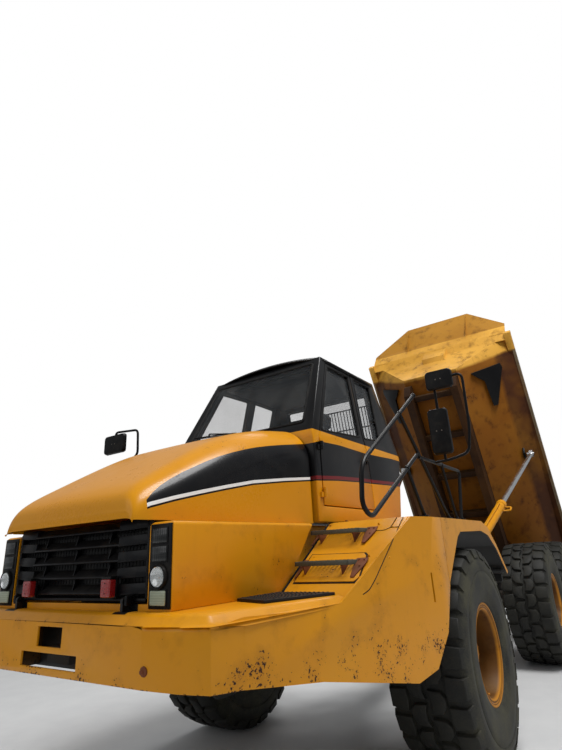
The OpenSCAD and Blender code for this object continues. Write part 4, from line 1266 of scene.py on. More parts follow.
@dataclass
class Hood(Part):
    """The tilting hood, one long pressed shell."""

    # cross sections: x, half width, top z, corner radius
    stations: tuple[tuple[float, float, float, float], ...] = (
        (3.168, 0.648, 2.040, 0.070), (3.120, 0.666, 2.155, 0.130), (2.890, 0.690, 2.300, 0.190),
        (2.330, 0.735, 2.585, 0.260), (1.890, 0.765, 2.720, 0.290), (1.472, 0.790, 2.785, 0.300))
    low: float = 1.990
    crown: float = 0.014
    across: int = 72
    steps: int = 12
    lead: int = 3

    def _station(self, t: float) -> list[float]:
        """The section at a place along the hood, on a smooth curve through the stations."""
        last = len(self.stations) - 1
        i = min(int(t), last - 1)
        p = [self.stations[min(max(k, 0), last)] for k in (i - 1, i, i + 1, i + 2)]
        s = t - i
        return [0.5 * (2 * b + (c - a) * s + (2 * a - 5 * b + 4 * c - d) * s * s
                       + (3 * b - a - 3 * c + d) * s ** 3) for a, b, c, d in zip(*p)]

    def _point(self, t: float, u: float) -> Vector:
        """A point of the skin, u from -1 at the right foot to 1 at the left."""
        x, w, top, r = self._station(max(t, 0.0))
        a, sign = abs(u), 1 if u > 0 else -1
        if a < 0.5:
            y, z = (w - r) * a / 0.5, top
        elif a < 0.8:
            turn = (a - 0.5) / 0.3 * math.pi / 2
            y, z = w - r + r * math.sin(turn), top - r + r * math.cos(turn)
        else:
            y, z = w, top - r + (self.low - top + r) * (a - 0.8) / 0.2
        z += self.crown * (1 - (y / w) ** 2) * min(1.0, max(0.0, (z - self.low) / 0.2))
        if t < 0:
            z, x = self.low + (z - self.low) * (1 + 0.85 * t) ** 0.8, x + 0.004 * t
        return at(x, sign * y, z)

    def build(self) -> None:
        """Makes the shell."""
        shape = Shape()
        rows = (len(self.stations) - 1) * self.steps + self.lead
        grid = bmesh.ops.create_grid(shape.bm, x_segments=rows, y_segments=self.across, size=1.0)["verts"]
        for vert in grid:
            share = (vert.co.x + 1) / 2 * rows - self.lead
            vert.co = self._point(share / (self.steps if share >= 0 else self.lead), vert.co.y)
        shape.face_up()
        bmesh.ops.remove_doubles(shape.bm, verts=shape.bm.verts[:], dist=0.006)
        shape.thicken(0.010)
        shape.piece("hood_shell", self.finishes.hood, "hood", "body_yellow", "hood", flat=0.7)


@dataclass
class Grille(Part):
    """The louvred grille under the hood's nose, which tilts with it."""

    # foot of each slat
    slats: tuple[float, ...] = (1.600, 1.686, 1.772, 1.858, 1.944)
    # section of one slat: x, height above its foot
    blade: Curve = ((3.066, 0.0), (3.072, 0.004), (3.070, 0.012), (3.022, 0.052), (3.012, 0.052),
                    (3.012, 0.040))
    half: float = 0.664
    bend: float = 0.440
    back: float = 3.012

    def build(self) -> None:
        """Makes the slats, dividers and frame, and the two red lamps on them."""
        shape = Shape()
        shape.block(at(3.000, -0.667, 1.576), at(3.012, 0.667, 1.980), 0.003)
        for z in self.slats:
            for side in (1, -1):
                self._slat_end(shape, side, z)
            shape.plate([at(x, -self.bend, z + up) for x, up in self.blade], (0, 2 * self.bend, 0), 0.002)
        for y in (-0.33, 0.0, 0.33):
            for z in self.slats[:-1]:
                shape.plate([at(x, y - 0.004, z + up) for x, up in (
                    (self.back, 0.010), (3.062, 0.012), (3.040, 0.086), (self.back, 0.086))], (0, 0.008, 0))
        for side in (1, -1):
            shape.block(at(3.004, side * 0.655 - 0.010, 1.576), at(3.046, side * 0.655 + 0.010, 1.980), 0.004)
            shape.block(at(2.900, side * 0.625 - 0.010, 1.600), at(3.010, side * 0.625 + 0.010, 1.989), 0.003)
            shape.block(at(3.060, side * 0.560 - 0.010, 1.549), at(3.104, side * 0.560 + 0.010, 1.600), 0.004)
            shape.rod(at(3.082, side * 0.512, 1.568), at(3.082, side * 0.574, 1.568), 0.010, sides=20)
        shape.block(at(3.006, -0.660, 1.566), at(3.052, 0.660, 1.582), 0.005)
        shape.piece("grille_louvre", self.finishes.grille, "hood", "trim_black", "grille")
        self._dark_core()
        self._lamps()

    def _slat_end(self, shape: Shape, side: int, z: float) -> None:
        """Adds the upright, swept-back end of one slat."""
        inner, outer = side * (self.bend - 0.012), side * self.half
        verts = shape.plate([at(self.back, inner, z - 0.002), at(3.071, inner, z - 0.002),
                             at(3.046, outer, z + 0.006), at(self.back, outer, z + 0.006)], (0, 0, 0.056))
        top = [v for v in verts if v.co.z > z + 0.03]
        bmesh.ops.translate(shape.bm, vec=(-0.006, 0, 0), verts=[v for v in top if v.co.x > at(3.03, 0, 0).x])
        shape.round_off(verts, 0.004, 2)

    def _dark_core(self) -> None:
        """Adds the fine mesh behind the slats."""
        mesh = Shape()
        for index in range(44):
            y = -0.645 + index * 0.03
            mesh.block(at(3.0125, y - 0.002, 1.585), at(3.0155, y + 0.002, 1.975))
        for index in range(13):
            z = 1.595 + index * 0.03
            mesh.block(at(3.0125, -0.655, z - 0.002), at(3.0155, 0.655, z + 0.002))
        mesh.piece("grille_mesh", self.finishes.seal, "hood", "trim_black")

    def _lamps(self) -> None:
        """Adds the two red lamps with their caps."""
        lamps, caps = Shape(), Shape()
        for side in (1, -1):
            y = side * 0.4025
            lamps.block(at(3.078, y - 0.0405, 1.590), at(3.126, y + 0.0405, 1.686), 0.010, 3)
            caps.block(at(3.066, y - 0.044, 1.585), at(3.082, y + 0.044, 1.698), 0.004)
            caps.block(at(3.070, y - 0.042, 1.684), at(3.120, y + 0.042, 1.700), 0.005)
            for z in (1.612, 1.664):
                caps.bolt(at(3.126, y, z), (1, 0, 0), 0.004)
        lamps.piece("marker_lenses", self.finishes.red, "hood", "lamp_red", "marker_lamps")
        caps.piece("marker_bases", self.finishes.trim, "hood", "trim_black")


@dataclass
class Lamps(Part):
    """Headlamps and indicators in the black panels beside the grille."""

    middle: float = 0.7675
    lamp_z: float = 1.690

    def build(self) -> None:
        """Makes the panels, lamps and lenses."""
        panel, bowl, clear, dark, ribbed = (Shape() for _ in range(5))
        for side in (1, -1):
            y = side * self.middle
            panel.block(at(2.990, y - 0.080, 1.531), at(3.058, y + 0.086, 1.962), 0.005)
            panel.lathe(at(3.050, y, self.lamp_z), (1, 0, 0), (
                (0.066, 0.0), (0.066, 0.018), (0.062, 0.026), (0.056, 0.026), (0.052, 0.018), (0.050, 0.004)))
            for low, high in ((1.541, 1.629), (1.762, 1.850), (1.856, 1.944)):
                panel.block(at(3.050, y - 0.064, low), at(3.063, y + 0.064, high), 0.003)
            bowl.lathe(at(3.057, y, self.lamp_z), (1, 0, 0), (
                (0.0, 0.004), (0.016, 0.005), (0.034, 0.008), (0.046, 0.013), (0.051, 0.018)))
            bowl.rod(at(3.058, y, self.lamp_z), at(3.068, y, self.lamp_z), 0.011, 0.008, 16, 0.002)
            clear.lathe(at(3.070, y, self.lamp_z), (1, 0, 0), (
                (0.0525, -0.004), (0.052, 0.000), (0.045, 0.005), (0.030, 0.009), (0.014, 0.011),
                (0.0, 0.0115)))
            for low, high in ((1.768, 1.844), (1.862, 1.938)):
                dark.block(at(3.058, y - 0.056, low), at(3.066, y + 0.056, high), 0.004)
            ribbed.block(at(3.058, y - 0.058, 1.548), at(3.070, y + 0.058, 1.622), 0.006)
        panel.piece("lamp_panels", self.finishes.trim, "tractor", "lamp_black", "headlamps")
        bowl.piece("lamp_bowls", self.finishes.mirror, "tractor", "rod_chrome")
        clear.piece("lamp_lenses", self.finishes.clear, "tractor", "window_glass")
        ribbed.piece("lower_lenses", self.finishes.ribbed, "tractor", "window_glass")
        dark.piece("upper_lenses", self.finishes.dark_lens, "tractor", "lamp_black")


@dataclass
class Cab(Part):
    """The operator's cab with its door, glass, seals, seat and controls."""

    sill: float = 2.76
    door_pane: Curve = ((1.262, 2.790), (0.855, 3.545), (0.385, 3.555), (0.470, 2.850))
    slide_pane: Curve = ((0.265, 3.565), (-0.150, 3.560), (-0.040, 2.890), (0.360, 2.850))

    def wall(self, x: float, z: float, side: int = 1, out: float = 0.0) -> Vector:
        """A point on the outside of the cab's side wall."""
        return at(x, side * (0.83 - max(0.0, z - 2.70) * 0.147 / 0.95 + out), z)

    def screen(self, y: float, z: float, out: float = 0.0) -> Vector:
        """A point on the outside of the windscreen's wall."""
        return at(1.44 - (z - self.sill) * 0.49 / 0.87 + out * 0.871, y, z + out * 0.49)

    def build(self) -> None:
        """Dresses the shell and fits everything to it."""
        Dressed("cab_shell", 0.010, 3).build(self.finishes.cab, "cab_black")
        Dressed("cab_door", 0.006, 2).build(self.finishes.cab, "cab_black")
        for node in ("cab_glass", "door_glass"):
            repaint(node, self.finishes.glass)
        self._seals()
        self._seat()
        self._controls()
        self._wiper()
        self._handle()
        self._guard()
        self._lining()
        self._roof()
        Dressed("rear_louvre", 0.002).build(self.finishes.trim, "trim_black")

    def _loop(self, shape: Shape, points: Sequence[Vector], radius: float) -> None:
        """Adds a closed rubber loop with rounded corners."""
        first = (points[0] + points[1]) / 2
        shape.tube([first, *points[1:], points[0], first], radius, 0.035, 8)

    def _seals(self) -> None:
        """Adds the rubber round every pane."""
        fixed, door = Shape(), Shape()
        for side in (1, -1):
            self._loop(fixed, [self.wall(x, z, side, -0.006) for x, z in self.slide_pane], 0.012)
            target = door if side == 1 else fixed
            self._loop(target, [self.wall(x, z, side, -0.006) for x, z in self.door_pane], 0.012)
            # the rear pane's catch
            fixed.rod(self.wall(-0.045, 3.12, side, -0.014), self.wall(-0.045, 3.12, side, 0.008), 0.022,
                      sides=20, edge=0.004)
        self._loop(fixed, [self.screen(y, z, -0.004) for y, z in
                           ((0.70, 2.866), (0.622, 3.556), (-0.622, 3.556), (-0.70, 2.866))], 0.014)
        back = [at(-0.5 + (z - self.sill) * 0.203 / 0.89 - 0.002, y, z) for y, z in
                ((0.56, 2.90), (0.56, 3.52), (-0.56, 3.52), (-0.56, 2.90))]
        self._loop(fixed, back, 0.012)
        fixed.piece("window_seals", self.finishes.seal, "tractor", "trim_black")
        door.piece("door_seal", self.finishes.seal, "door", "trim_black")

    def _seat(self) -> None:
        """Makes the sprung seat: base, cushion, back and head rest."""
        base = Shape()
        base.block(at(-0.02, -0.22, 2.047), at(0.42, 0.22, 2.10), 0.01)
        for step in range(5):
            z = 2.10 + step * 0.055
            base.block(at(0.02 + 0.006 * step, -0.18, z), at(0.38 - 0.006 * step, 0.18, z + 0.045), 0.018, 3)
        base.block(at(-0.03, -0.24, 2.38), at(0.43, 0.24, 2.42), 0.012)
        for side in (1, -1):
            base.block(at(0.02, side * 0.285 - 0.03, 2.68), at(0.34, side * 0.285 + 0.03, 2.72), 0.015, 3)
            base.block(at(-0.02, side * 0.270 - 0.012, 2.45), at(0.03, side * 0.270 + 0.012, 2.70), 0.006)
        base.piece("seat_base", self.finishes.panel, "tractor", "trim_black")
        for name, low, high, lean in (("seat_cushion", (-0.03, -0.25, 2.42), (0.45, 0.25, 2.56), 0.0),
                                      ("seat_back", (-0.14, -0.24, 2.56), (-0.01, 0.24, 3.16), -0.17),
                                      ("seat_head", (-0.20, -0.15, 3.16), (-0.09, 0.15, 3.36), -0.17)):
            pad = Shape()
            bmesh.ops.create_cube(pad.bm, size=1.0)
            bmesh.ops.subdivide_edges(pad.bm, edges=pad.bm.edges[:], cuts=11, use_grid_fill=True)
            size = Vector(high) - Vector(low)
            middle = (Vector(high) + Vector(low)) / 2
            for vert in pad.bm.verts:
                self._crown(vert, size)
            pad.place(pad.bm.verts, Matrix.Translation(at(*middle)) @ Matrix.Rotation(lean, 4, "Y"))
            made = pad.piece(name, self.finishes.cloth, "tractor", "seat_cloth",
                             *(("cab_interior",) if name == "seat_cushion" else ()), flat=1.2)

    @staticmethod
    def _crown(vert: bmesh.types.BMVert, size: Vector) -> None:
        """Swells a cushion's face, rounds its corners and sinks its sewn channels."""
        p = vert.co * 2
        depth = min(range(3), key=lambda i: size[i])
        a, b = (i for i in range(3) if i != depth)
        inset = 1 - 0.055 * (abs(p[a]) ** 6 + abs(p[b]) ** 6) - 0.20 * (abs(p[a]) * abs(p[b])) ** 6
        full = 0.72 + 0.28 * (1 - p[a] ** 4) * (1 - p[b] ** 4)
        channel = sum(math.exp(-((p[b] - line) / 0.05) ** 2) for line in (-0.45, 0.0, 0.45))
        full -= 0.10 * channel * (1 - p[a] ** 6) if depth != 1 else 0.0
        p[depth] *= full
        p[a] *= inset
        p[b] *= inset
        vert.co = Vector(p[i] * size[i] / 2 for i in range(3))

    def _controls(self) -> None:
        """Makes the dash, the steering wheel and the levers."""
        dash = Shape()
        dash.plate([at(x, -0.55, z) for x, z in ((1.385, 2.045), (1.385, 2.78), (1.20, 2.80), (1.06, 2.70),
                                                 (1.02, 2.50), (1.12, 2.045))], (0, 1.10, 0), 0.02)
        dash.block(at(0.10, -0.74, 2.047), at(0.75, -0.50, 2.62), 0.03, 3)
        dash.piece("dash", self.finishes.panel, "tractor", "trim_black")
        wheel = Shape()
        middle, lean = at(0.86, 0.0, 2.86), Vector((-0.45, 0, 0.89)).normalized()
        rim = [(0.205 + a, b) for a, b in circle(12, 0.015)]
        wheel.lathe(middle, lean, [*rim, rim[0]])
        wheel.rod(middle - lean * 0.05, middle + lean * 0.012, 0.045, 0.035, 24, 0.006)
        wheel.rod(middle - lean * 0.55 + Vector((0.04, 0, 0)), middle - lean * 0.04, 0.03, sides=20)
        for angle in (0.3, 2.4, 4.5):
            arm = spin_to(lean) @ Vector((*circle(1, 1.0, angle)[0], 0))
            wheel.rod(middle + arm * 0.03, middle + arm * 0.20, 0.012, sides=12)
        for y in (-0.10, 0.10):
            wheel.rod(at(0.98, y, 2.60), at(0.93, y * 2.6, 2.72), 0.008, sides=10)
            wheel.rod(at(0.93, y * 2.6, 2.71), at(0.926, y * 2.7, 2.735), 0.016, sides=12, edge=0.004)
        wheel.piece("steering_wheel", self.finishes.trim, "tractor", "trim_black")

    def _wiper(self) -> None:
        """Makes the windscreen wiper, parked low."""
        wiper = Shape()
        pivot, tip = self.screen(0.10, 2.838, 0.03), self.screen(-0.42, 2.93, 0.035)
        wiper.rod(self.screen(0.10, 2.838, -0.004), pivot + Vector((0.01, 0, 0.006)), 0.020, 0.015, 20, 0.003)
        wiper.tube([pivot, self.screen(-0.10, 2.865, 0.045), tip], 0.007, 0.08, 8)
        first, last = self.screen(-0.06, 2.882, 0.022), self.screen(-0.64, 2.930, 0.022)
        wiper.tube([first, (first + last) / 2 + Vector((0.006, 0, 0.003)), last], 0.006, 0.2, 8)
        wiper.tube([first - Vector((0.012, 0, 0.006)), last - Vector((0.012, 0, 0.006))], 0.005, sides=8)
        wiper.rod(tip, (first * 0.35 + last * 0.65), 0.008, sides=10)
        wiper.piece("wiper", self.finishes.trim, "tractor", "trim_black")

    def _handle(self) -> None:
        """Makes the door's lock plate and pull."""
        handle = Shape()
        handle.block(at(0.395, 0.826, 2.572), at(0.475, 0.836, 2.652), 0.010, 3)
        handle.block(at(0.405, 0.832, 2.600), at(0.462, 0.852, 2.626), 0.006, 3)
        handle.rod(at(0.435, 0.832, 2.588), at(0.435, 0.846, 2.588), 0.009, sides=20, edge=0.002)
        handle.piece("door_handle", self.finishes.trim, "door", "trim_black")

    def _guard(self) -> None:
        """Makes the barred guard inside the rear window."""
        guard = Shape()
        foot, head = Vector((-0.415, 2.93)), Vector((-0.318, 3.40))
        for index in range(27):
            y = -0.54 + index * 0.04154
            guard.tube([at(foot.x, y, foot.y), at(head.x, y, head.y)], 0.0065, sides=8)
        for end in (foot, (foot + head) / 2, head):
            guard.tube([at(end.x, -0.56, end.y), at(end.x, 0.56, end.y)], 0.008, sides=8)
        for y in (-0.55, 0.55):
            for end in (foot, head):
                guard.tube([at(end.x, y, end.y), at(end.x - 0.03, y * 1.05, end.y)], 0.008, sides=8)
        guard.piece("rear_guard", self.finishes.trim, "tractor", "trim_black")

    def _lining(self) -> None:
        """Adds the dark head lining under the roof."""
        lining = Shape()
        lining.block(at(-0.24, -0.60, 3.548), at(0.90, 0.60, 3.572), 0.01)
        lining.block(at(0.70, -0.50, 3.49), at(0.88, 0.50, 3.549), 0.02, 3)
        lining.piece("head_lining", self.finishes.panel, "tractor", "trim_black")

    def _roof(self) -> None:
        """Makes the crowned roof skin with its thick rolled edge."""
        roof = Shape()
        grid = bmesh.ops.create_grid(roof.bm, x_segments=24, y_segments=28, size=1.0)["verts"]
        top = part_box("cab_shell")[1][2]
        front, rear, half = 1.44 - (top - self.sill) * 0.49 / 0.87 + 0.035, -0.300, 0.715
        for vert in grid:
            u, v = vert.co.x, vert.co.y
            # a square with rounded corners, rolled down at its rim
            x = (front + rear) / 2 + (front - rear) / 2 * u * (1 - 0.035 * v ** 6)
            y = half * v * (1 - 0.035 * u ** 6)
            rim = max(abs(u), abs(v)) ** 10
            z = top + 0.004 + 0.085 * (1 - v * v) * (1 - 0.25 * u * u) - 0.055 * rim
            vert.co = at(x, y, z)
        roof.face_up()
        roof.thicken(0.012)
        roof.piece("roof_skin", self.finishes.trim, "tractor", "cab_black")


@dataclass
class Rails(Part):
    """Bent tube rails on the fenders, and the mirrors."""

    line: float = 1.56
    tube: float = 0.016
    arm: float = 0.0123

    def build(self) -> None:
        """Makes the rails and mirrors."""
        rails, feet = Shape(), Shape()
        for side in (1, -1):
            def path(*points: tuple[float, float]) -> list[Vector]:
                """Points of a rail in its upright plane."""
                return [at(x, side * self.line, z) for x, z in points]
            rails.tube(path((0.90, 3.03), (2.10, 2.30), (2.15, 2.03), (2.03, 1.96), (1.01, 2.495)),
                       self.tube, 0.10)
            rails.tube(path((0.99, 2.475), (-0.18, 2.475), (0.02, 2.006)), self.tube, 0.07)
            for brace in (path((1.302, 2.785), (0.42, 2.006)), path((1.295, 2.350), (1.05, 2.006)),
                          path((0.395, 2.475), (0.18, 2.006))):
                rails.tube(brace, self.tube)
            for knot in path((0.90, 3.03), (1.302, 2.785), (1.295, 2.35), (0.395, 2.475), (1.005, 2.49)):
                rails.lathe(knot, (0.85, 0, -0.52), (
                    (0.0, -0.013), (0.019, -0.012), (0.021, 0.0), (0.019, 0.012), (0.0, 0.013)), 20)
            for x in (1.05, 0.42, 0.18, 0.02):
                base = at(x, side * self.line, 1.990)
                feet.rod(base, base + Vector((0, 0, 0.014)), 0.036, sides=32, edge=0.003)
                feet.rod(base, base + Vector((0, 0, 0.030)), 0.021, 0.018, 24, 0.002)
                for spot in circle(4, 0.026):
                    feet.bolt(base + Vector((*spot, 0.014)), (0, 0, 1), 0.006)
        rails.piece("rail_tubes", self.finishes.black, "tractor", "trim_black", "handrails")
        feet.piece("rail_feet", self.finishes.black, "tractor", "trim_black")
        self._mirrors()

    def _mirrors(self) -> None:
        """Makes the three mirrors, their bent tubes and clamps."""
        shells, faces, tubes, bolts = (Shape() for _ in range(4))
        left, right = 0.600, 1.720
        for x, y0, y1, z0, z1 in ((left, 1.573, 1.757, 2.528, 2.950), (left, 1.600, 1.852, 3.122, 3.305),
                                  (right, -1.600, -1.270, 2.850, 3.052)):
            self._shell(shells, x, y0, y1, z0, z1)
            faces.block(at(x - 0.001, y0 + 0.012, z0 + 0.012), at(x + 0.004, y1 - 0.012, z1 - 0.012), 0.001)
            for off in (-0.023, 0.023):
                bolts.bolt(at(x + 0.045, (y0 + y1) / 2 + off, (z0 + z1) / 2), (1, 0, 0), 0.007)
        left, right = left - self.arm, right - self.arm
        tubes.tube([at(left, y, z) for y, z in (
            (1.700, 3.240), (1.930, 3.240), (1.915, 2.743), (1.876, 2.521), (1.700, 2.480),
            (1.576, 2.475))], 0.012, 0.06)
        tubes.tube([at(left, 1.665, 2.485), at(left, 1.665, 3.280)], 0.012)
        tubes.tube([at(right + x, y, z) for x, y, z in (
            (0, -1.480, 2.900), (0, -1.480, 3.092), (0, -1.120, 3.060), (0, -1.105, 2.800),
            (0, -1.250, 2.740), (-0.220, -1.400, 2.400), (-0.430, -1.485, 2.300),
            (-0.430, -1.485, 1.994))], 0.012, 0.05)
        tubes.rod(at(right - 0.430, -1.485, 1.990), at(right - 0.430, -1.485, 2.004), 0.034, sides=32,
                  edge=0.003)
        for y, z in ((1.665, 2.640), (1.665, 2.840), (1.665, 3.200), (-1.480, 2.950)):
            clamp = at(left if y > 0 else right, y, z)
            tubes.block(clamp - Vector((0.018, 0.020, 0.014)), clamp + Vector((0.014, 0.020, 0.014)), 0.004)
        shells.piece("mirror_shells", self.finishes.trim, "tractor", "trim_black", "mirrors")
        faces.piece("mirror_faces", self.finishes.mirror, "tractor", "rod_chrome")
        tubes.piece("mirror_tubes", self.finishes.black, "tractor", "trim_black")
        bolts.piece("mirror_bolts", self.finishes.iron, "tractor", "chassis_steel")

    @staticmethod
    def _shell(shells: Shape, x: float, y0: float, y1: float, z0: float, z1: float) -> None:
        """Adds the shell of one mirror, narrower at its back and well rounded.

        Args:
            shells: The shells' mesh.
            x: Where its glass is.
            y0: Its right side.
            y1: Its left side.
            z0: Its foot.
            z1: Its top.
        """
        verts = shells.block(at(x + 0.002, y0, z0), at(x + 0.045, y1, z1))
        front = [v for v in verts if v.co.x > at(x + 0.02, 0, 0).x]
        lengthwise = [e for e in shells.bm.edges if all(v in verts for v in e.verts)
                      and (e.verts[0].co - e.verts[1].co).yz.length < 1e-6]
        bmesh.ops.scale(shells.bm, vec=(1, 0.93, 0.95), verts=front,
                        space=Matrix.Translation(-at(x, (y0 + y1) / 2, (z0 + z1) / 2)))
        bmesh.ops.bevel(shells.bm, geom=lengthwise, offset=0.034, segments=6, profile=0.5, affect="EDGES",
                        material=-1)
        low, high = at(x - 0.01, y0 - 0.01, z0 - 0.01), at(x + 0.06, y1 + 0.01, z1 + 0.01)
        island = [v for v in shells.bm.verts if all(low[i] < v.co[i] < high[i] for i in range(3))]
        shells.round_off(island, 0.008, 3, 0.9)


@dataclass
class Steps(Part):
    """Serrated step treads on the sloping panels, and the tread plates on the deck."""

    # front edge, top, inner end and outer end of each tread
    treads: tuple[tuple[float, float, float, float], ...] = (
        (1.950, 1.715, 0.905, 1.320), (1.630, 1.925, 0.860, 1.265))
    bars: int = 13
    teeth: int = 4

    def build(self) -> None:
        """Makes the treads, their brackets and the deck plates."""
        tread, bracket, deck = Shape(), Shape(), Shape()
        for side in (1, -1):
            panel = StepsPanel(side)
            for x, z, y0, y1 in self.treads:
                back = panel.foot[0] + (z - 0.014 - panel.foot[1]) / panel.slope + 0.010
                self._tread(tread, back, x, z, *sorted((side * y0, side * y1)))
                self._end_plates(bracket, panel, back, z, y0, y1)
                for y in (side * (y0 + 0.060) - 0.004, side * (y1 - 0.060) - 0.004):
                    bracket.plate([at(x - 0.012, y, z - 0.030), at(back - 0.016, y, z - 0.030),
                                   at(back + 0.108, y, z - 0.118)], (0, 0.008, 0), 0.001)
            self._deck_plate(deck, side)
        tread.piece("step_treads", self.finishes.galvanised, "tractor", "trim_black", "steps")
        bracket.piece("step_brackets", self.finishes.rust, "tractor", "trim_black")
        deck.piece("deck_treads", self.finishes.tread, "tractor", "trim_black")

    def _tread(self, tread: Shape, back: float, x: float, z: float, lo: float, hi: float) -> None:
        """Adds one tread: its frame and its toothed bars.

        Args:
            tread: The treads' mesh.
            back: Where it meets the panel.
            x: Its front edge.
            z: Its top.
            lo: Its right end.
            hi: Its left end.
        """
        tread.block(at(x - 0.012, lo, z - 0.030), at(x, hi, z), 0.003)
        tread.block(at(back, lo, z - 0.030), at(back + 0.010, hi, z), 0.002)
        for y in (lo, hi - 0.008):
            tread.block(at(back, y, z - 0.030), at(x, y + 0.008, z), 0.002)
        for index in range(1, self.bars):
            y = lo + (hi - lo) * index / self.bars
            tread.block(at(back, y - 0.003, z - 0.026), at(x - 0.006, y + 0.003, z - 0.003))
            for tooth in range(self.teeth):
                middle = at(back + 0.02 + (x - back - 0.04) * tooth / (self.teeth - 1), y, z)
                tread.block(middle - Vector((0.006, 0.003, 0.004)), middle + Vector((0.006, 0.003, 0.002)))

    @staticmethod
    def _end_plates(bracket: Shape, panel: StepsPanel, back: float, z: float, y0: float, y1: float) -> None:
        """Adds the bolted plates that hold one tread at both ends.

        Args:
            bracket: The brackets' mesh.
            panel: The panel that they stand on.
            back: Where the tread meets the panel.
            z: Top of the tread.
            y0: Its inner end.
            y1: Its outer end.
        """
        for end, wide in ((y1 - 0.012, 0.085), (y0 + 0.012, -0.030)):
            def face(x: float, y: float, out: float) -> Vector:
                """A point over the sloping panel beside the tread's end."""
                return at(back + x + out * panel.normal[0], panel.side * (end + y),
                          z - 0.014 + x * panel.slope + out * panel.normal[1])
            outline = ((-0.020, 0.0), (-0.020, wide), (0.030, wide), (0.150, wide * 0.55),
                       (0.150, wide * 0.25), (0.030, 0.0))
            bracket.plate([face(x, y, 0.003) for x, y in outline], face(0, 0, 0.011) - face(0, 0, 0.003),
                          0.001)
            for x, y in ((0.0, 0.3), (0.0, 0.75), (0.055, 0.6)) if wide > 0 else ():
                bracket.bolt(face(x, y * wide, 0.011), panel.out, 0.009)

    def _deck_plate(self, deck: Shape, side: int) -> None:
        """Adds one tread plate with its raised studs."""
        z = 1.5203
        outline = [(2.110, 0.872), (2.540, 0.872), (2.640, 1.150), (2.130, 1.310)]
        deck.plate([at(x, side * y, z) for x, y in outline], (0, 0, 0.018), 0.003)
        rows, columns = 11, 12
        for row in range(rows):
            for column in range(columns):
                u, v = (row + 0.5) / rows, (column + 0.5) / columns
                y = 0.885 + v * (0.25 + 0.16 * (1 - u)) + (0.012 if row % 2 else 0.0)
                x = 2.125 + u * (0.40 + 0.10 * (y - 0.872) / 0.28)
                deck.rod(at(x, side * y, z + 0.016), at(x, side * y, z + 0.0215), 0.009, 0.006, 8)


@dataclass
class Chassis(Part):
    """Frames, axles, hitch and engine."""

    def build(self) -> None:
        """Dresses the castings and weldments and adds their fasteners."""
        for node in ("front_frame", "frame_brackets", "engine", "hitch", "steer_ears", "rear_frame",
                     "walking_beams"):
            Dressed(node, 0.005).build(self.finishes.steel, "chassis_steel")
        for node in ("front_axle", "middle_axle", "rear_axle"):
            Dressed(node, 0.008, 2, 0.01).build(self.finishes.steel, "chassis_steel")
        self._axle_bolts()
        self._frame_bolts()
        self._engine_detail()

    def _axle_bolts(self) -> None:
        """Adds the bolts round the differential housings and the brake flanges."""
        for axle, body, name in (("f", "tractor", "front"), ("m", "rear_frame", "middle"),
                                 ("r", "rear_frame", "rear")):
            bolts = Shape()
            hub = at(AXLES[axle], 0, TYRE_RADIUS)
            for side in (1, -1):
                for a, b in circle(16, 0.150, 0.1):
                    bolts.bolt(hub + Vector((a, side * 1.020, b)), (0, -side, 0), 0.010)
                for a, b in circle(8, 0.068, 0.4):
                    bolts.bolt(hub + Vector((side * 0.380, a, b)), (side, 0, 0), 0.009)
            bolts.piece(f"{name}_axle_bolts", self.finishes.iron, body, "chassis_steel")

    def _frame_bolts(self) -> None:
        """Adds bolt rows on the frame rails and round the oscillation housing."""
        front, rear = Shape(), Shape()
        for side in (1, -1):
            for x in (2.45, 2.20, 1.95, 1.70, 1.0, 0.75):
                for z in (1.05, 1.34):
                    front.bolt(at(x, side * 0.430, z), (0, side, 0), 0.013)
            for x in (-3.1, -3.9, -4.415, -5.35, -6.1, -6.85):
                for dx, dz in ((-0.04, 1.10), (0.04, 1.10), (-0.04, 1.25), (0.04, 1.25)):
                    rear.bolt(at(x + dx, side * 0.380, dz), (0, side, 0), 0.013)
        for a, b in circle(16, 0.150):
            rear.bolt(at(-1.742, a, 1.010 + b), (1, 0, 0), 0.010)
        front.piece("front_frame_bolts", self.finishes.iron, "tractor", "chassis_steel")
        rear.piece("rear_frame_bolts", self.finishes.iron, "rear_frame", "chassis_steel")

    def _engine_detail(self) -> None:
        """Adds cooling fins, a sump rib row and a drain plug to the engine's housing."""
        fins = Shape()
        for side in (1, -1):
            for index in range(9):
                x = 1.30 + index * 0.16
                lo, hi = sorted((side * 0.349, side * 0.372))
                fins.block(at(x, lo, 1.30), at(x + 0.03, hi, 1.86), 0.005)
        for index in range(5):
            fins.block(at(1.22 + index * 0.10, -0.30, 0.998), at(1.24 + index * 0.10, 0.30, 1.012), 0.004)
        fins.rod(at(1.45, 0, 0.985), at(1.45, 0, 1.012), 0.02, sides=6, edge=0.003)
        fins.piece("engine_ribs", self.finishes.steel, "tractor", "chassis_steel")


